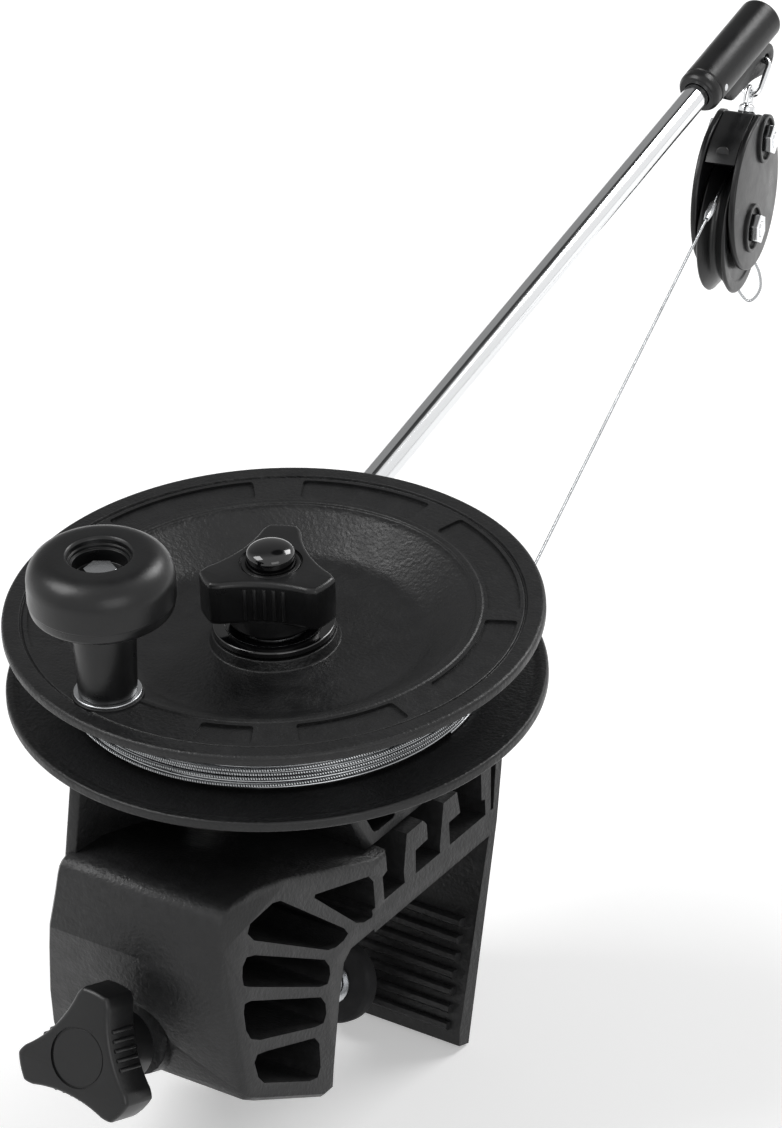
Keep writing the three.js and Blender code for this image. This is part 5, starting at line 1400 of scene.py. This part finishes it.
    def _layers(self) -> bpy.types.Object:
        """Builds the close turns of the inner layers.

        Returns:
            The piece.
        """
        low, high = self.core_span
        around = 220
        total = int((high - low) / (2 * self.wire + self.core_gap)) * around
        route = []
        for i in range(total + 1):
            angle = TURN * i / around
            wave = self.core_wave * math.prod(math.sin(angle * pace) for pace in self.core_paces)
            height = low + (high - low) * i / total + wave
            route.append(Vector((*polar(self.core - self.wire, angle), height)))
        mesh = Mesh().tube(route, self.wire, sides=8)
        return mesh.piece("cable_layers_form", "spool", CABLE, SPOOL.matrix(), "cable_core",
                          sharp=STRAND_SHARP)

    def _winding(self) -> list[Vector]:
        """Lays the loose outer turns, which drift a little, with the last one over the others.

        Returns:
            Their middle line, with the start of the taut run.
        """
        around = round(TURN * self.radius / self.step)
        (slow, phase, wide), (fast, drift, narrow) = self.swings
        climb_at, climb, proud = self.crossing
        fade_in, fade_out, come_out = self.fades
        route = []
        for i in range(self.turns * around + 1):
            turn = i / around
            left = self.turns - turn
            angle = self.leave - TURN * left
            swing = math.sin(angle * slow + phase) * wide + math.sin(angle * fast + turn * drift) * narrow
            height = self.first + self.pitch * turn + swing * min(1.0, turn / fade_in, left / fade_out)
            lying = min(1.0, left / come_out)
            lift = proud * lying / (1 + math.exp(-(turn - climb_at) * climb))
            depth = self.settle * (lying if left >= self.last_turn else 0.0)
            route.append(Vector((*polar(self.radius - depth + lift, angle), height)))
        leaving = self.start - Vector(SPOOL.origin)
        reach = self.clear - self.joint
        count = round(reach / self.step)
        return route + [leaving + self.ahead * (reach * (i + 1) / count) for i in range(count)]

    def _end_loop(self) -> list[Vector]:
        """Lays the loop under the end sleeve as one smooth curve through its corners.

        Returns:
            Its middle line.
        """
        points = [Vector((x, 0, z)) for x, z in self.loop]
        points += [Vector((-p.x, 0, p.z)) for p in reversed(points[:-1])]
        last, fine = len(points) - 1, 14
        route = []
        for i in range(1, len(points)):
            a, b, c, d = (points[max(0, min(last, i + k))] for k in (-2, -1, 0, 1))
            for t in (j / fine for j in range(fine)):
                route.append(0.5 * ((2 * b) + (c - a) * t + (2 * a - 5 * b + 4 * c - d) * t ** 2
                                    + (3 * b - a - 3 * c + d) * t ** 3))
        return [*route, points[-1]]


# Studio and camera

@dataclass
class Camera:
    """Camera at the photograph's angle.

    Attributes:
        heading: turn of the view.
        elevation: above the horizon.
        roll: turn of the picture.
        distance: from the spool.
        focal: focal length in pixels.
        anchor: where the spool's foot lies in the picture.
        image: width and height of the picture in pixels.
        clip: nearest and farthest distance seen, in metres.
    """

    heading: float = 54.0
    elevation: float = 31.9
    roll: float = 2.7
    distance: float = 3500.0
    focal: float = 10010.0
    anchor: Point2 = (277.5, 683.3)
    image: Point2 = (782, 1128)
    clip: Point2 = (0.1, 50)

    def build(self) -> bpy.types.Object:
        """Makes the camera and sets it as the scene's.

        Returns:
            The camera.
        """
        a, e, r = (math.radians(v) for v in (self.heading, self.elevation, self.roll))
        body = Matrix(((math.sin(a), -math.cos(a), 0), (math.cos(a), math.sin(a), 0), (0, 0, 1)))
        up, level = Vector((0, math.sin(e), math.cos(e))), Vector((1, 0, 0))
        view = Vector((0, math.cos(e), -math.sin(e)))
        right = level * math.cos(r) - up * math.sin(r)
        above = level * math.sin(r) + up * math.cos(r)
        across, rise = ((place - size / 2) / self.focal * self.distance
                        for place, size in zip(self.anchor, self.image))
        eye = body @ -(right * across - above * rise + view * self.distance) + Vector(SPOOL.origin)
        data = bpy.data.cameras.new("camera")
        data.lens = self.focal * data.sensor_width / max(self.image)
        data.clip_start, data.clip_end = self.clip
        camera = bpy.data.objects.new("camera", data)
        bpy.context.scene.collection.objects.link(camera)
        turn = Matrix([body @ right, body @ above, body @ -view]).transposed().to_4x4()
        camera.matrix_world = Matrix.Translation(eye * MM) @ turn
        bpy.context.scene.camera = camera
        return camera


def seen_rays(tree: bpy.types.NodeTree) -> bpy.types.NodeSocket:
    """Tells rays of the camera, of reflections and through glass from all others.

    Args:
        tree: takes the nodes.

    Returns:
        One for those rays, and else zero.
    """
    rays = tree.nodes.new("ShaderNodeLightPath")
    last = rays.outputs["Is Camera Ray"]
    for name in ("Is Glossy Ray", "Is Transmission Ray"):
        last = add(tree, "Math", {0: last, 1: rays.outputs[name]}, operation="MAXIMUM")
    return last


@dataclass(frozen=True)
class Spot:
    """A dimmer patch of the surround, as reflections see it.

    Attributes:
        aim: its direction.
        edge: cosine of the angle from its middle at which it starts.
        core: cosine of the angle at which it is dimmest.
        least: brightness there.
    """

    aim: Point3
    edge: float
    core: float
    least: float


@dataclass(frozen=True)
class Lamp:
    """A square soft light.

    Attributes:
        name: of the light.
        place: where it stands, in metres.
        size: its side, in metres.
        power: in watts.
    """

    name: str
    place: Point3
    size: float
    power: float


@dataclass
class Studio:
    """Pale floor, soft lights and a plain bright surround.

    Attributes:
        floor_gap: from the lowest piece down to the floor.
        floor_reach: from the object to the floor's edge, and floor_cells: along one of its sides.
        floor_white: the floor's colour, and floor_glow: what it adds for seen rays.
        surround: light that the object gets from it, with heights and shares: how that grows upward.
        spots: its dimmer patches.
        target: what the lamps point at, in metres.
    """

    floor_gap: float = 0.5
    floor_reach: float = 9000
    floor_cells: int = 12
    floor_white: float = 0.9
    floor_glow: float = 0.34
    surround: float = 0.2
    heights: Point2 = (-0.2, 0.9)
    shares: Point2 = (0.6, 1.3)
    spots: tuple[Spot, Spot] = (
        Spot((-0.08, 0.5, 0.862), edge=0.968, core=0.985, least=0.12),
        Spot((-0.6, 0.62, 0.5), edge=0.5, core=0.85, least=0.3))
    lamps: tuple[Lamp, ...] = (
        Lamp("key", (-1.6, -1.2, 2.6), size=1.6, power=56),
        Lamp("fill", (2.4, -1.6, 1.4), size=1.8, power=18),
        Lamp("back", (0.6, 2.4, 2.0), size=1.2, power=44))
    target: Point3 = (-0.03, 0.12, 0.06)

    def build(self) -> list[bpy.types.Object]:
        """Builds floor, surround and lights.

        Returns:
            The floor and the lights.
        """
        floor = self._floor()
        self._surround()
        bpy.context.scene.view_settings.view_transform = "Standard"
        return [floor, *(self._light(lamp) for lamp in self.lamps)]

    def _floor(self) -> bpy.types.Object:
        """Builds the floor under the lowest piece.

        Returns:
            The floor.
        """
        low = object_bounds()[0].z / MM - self.floor_gap
        mesh, reach, cells = Mesh(), self.floor_reach, self.floor_cells
        steps = [-reach + 2 * reach * i / cells for i in range(cells + 1)]
        mesh.grid([mesh.ring((x, y, low) for x in steps) for y in steps], closed=False)
        data = mesh.data("floor")
        floor = bpy.data.objects.new("floor", data)
        bpy.context.scene.collection.objects.link(floor)
        made = bpy.data.materials.new("floor_paint")
        made.use_nodes = True
        tree = made.node_tree
        tree.nodes.clear()
        paint = add(tree, "BsdfDiffuse", {"Color": (self.floor_white,) * 3 + (1,)})
        strength = add(tree, "Math", {0: seen_rays(tree), 1: self.floor_glow}, operation="MULTIPLY")
        glow = add(tree, "Emission", {"Strength": strength})
        out = tree.nodes.new("ShaderNodeOutputMaterial")
        feed(tree, out, {"Surface": add(tree, "AddShader", {0: paint, 1: glow})})
        data.materials.append(made)
        floor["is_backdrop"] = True
        return floor

    def _surround(self) -> None:
        """Makes the surround, which is white to the camera and softer to the object."""
        world = bpy.data.worlds.new("surround")
        bpy.context.scene.world = world
        world.use_nodes = True
        tree = world.node_tree
        towards = add(tree, "TexCoord", {}, "Generated")
        height = add(tree, "SeparateXYZ", {"Vector": towards}, "Z")
        low, high = (self.surround * share for share in self.shares)
        soft = mapped(tree, height, self.heights, (low, high))
        pick = {"Factor": seen_rays(tree), "A": soft, "B": self._seen(tree, towards)}
        strength = add(tree, "Mix", pick, "Result")
        feed(tree, tree.nodes["Background"], {"Color": (1, 1, 1, 1), "Strength": strength})

    def _seen(self, tree: bpy.types.NodeTree, towards: bpy.types.NodeSocket) -> bpy.types.NodeSocket:
        """Makes the surround's brightness in reflections: white, with its dimmer patches.

        Args:
            tree: takes the nodes.
            towards: the direction looked in.

        Returns:
            The brightness.
        """
        parts = {}
        for i, spot in enumerate(self.spots):
            aim = Vector(spot.aim).normalized()
            near = add(tree, "VectorMath", {0: towards, 1: aim}, "Value", "DOT_PRODUCT")
            parts[i] = mapped(tree, near, (spot.edge, spot.core), (1, spot.least))
        return add(tree, "Math", parts, operation="MULTIPLY")

    def _light(self, lamp: Lamp) -> bpy.types.Object:
        """Makes one light.

        Args:
            lamp: what it is like.

        Returns:
            The light.
        """
        data = bpy.data.lights.new(lamp.name, "AREA")
        data.shape = "SQUARE"
        data.size = lamp.size
        data.energy = lamp.power
        light = bpy.data.objects.new(lamp.name, data)
        bpy.context.scene.collection.objects.link(light)
        light.location = lamp.place
        light.rotation_mode = "QUATERNION"
        light.rotation_quaternion = (Vector(self.target) - Vector(lamp.place)).to_track_quat("-Z", "Y")
        return light


def finish_cad() -> None:
    """Gives every CAD node its slot's finish."""
    for item in frame["record"]["subparts"]:
        node = frame["nodes"][item["node"]]
        node.data.materials.clear()
        node.data.materials.append(FINISHES[item["material_slot"]].material())


def corners() -> list[list[float]]:
    """Returns the lowest and highest corner of the shown object."""
    return [list(corner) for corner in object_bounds()]


def main() -> None:
    """Builds the scene in order and reports each piece."""
    logging.basicConfig(level=logging.INFO, format="%(name)s: %(message)s")
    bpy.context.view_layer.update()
    log.info("camera: %.1f mm lens", Camera().build().data.lens)
    finish_cad()
    for part in (Clamp(), Base(), Spool(), Brake(), Crank(), Pulley(), Cable()):
        for piece in part.build():
            log.info("%s: %s, %d faces", type(part).__name__, piece.name, len(piece.data.polygons))
    for item in Studio().build():
        log.info("studio: %s", item.name)


if __name__ == "__main__":
    main()
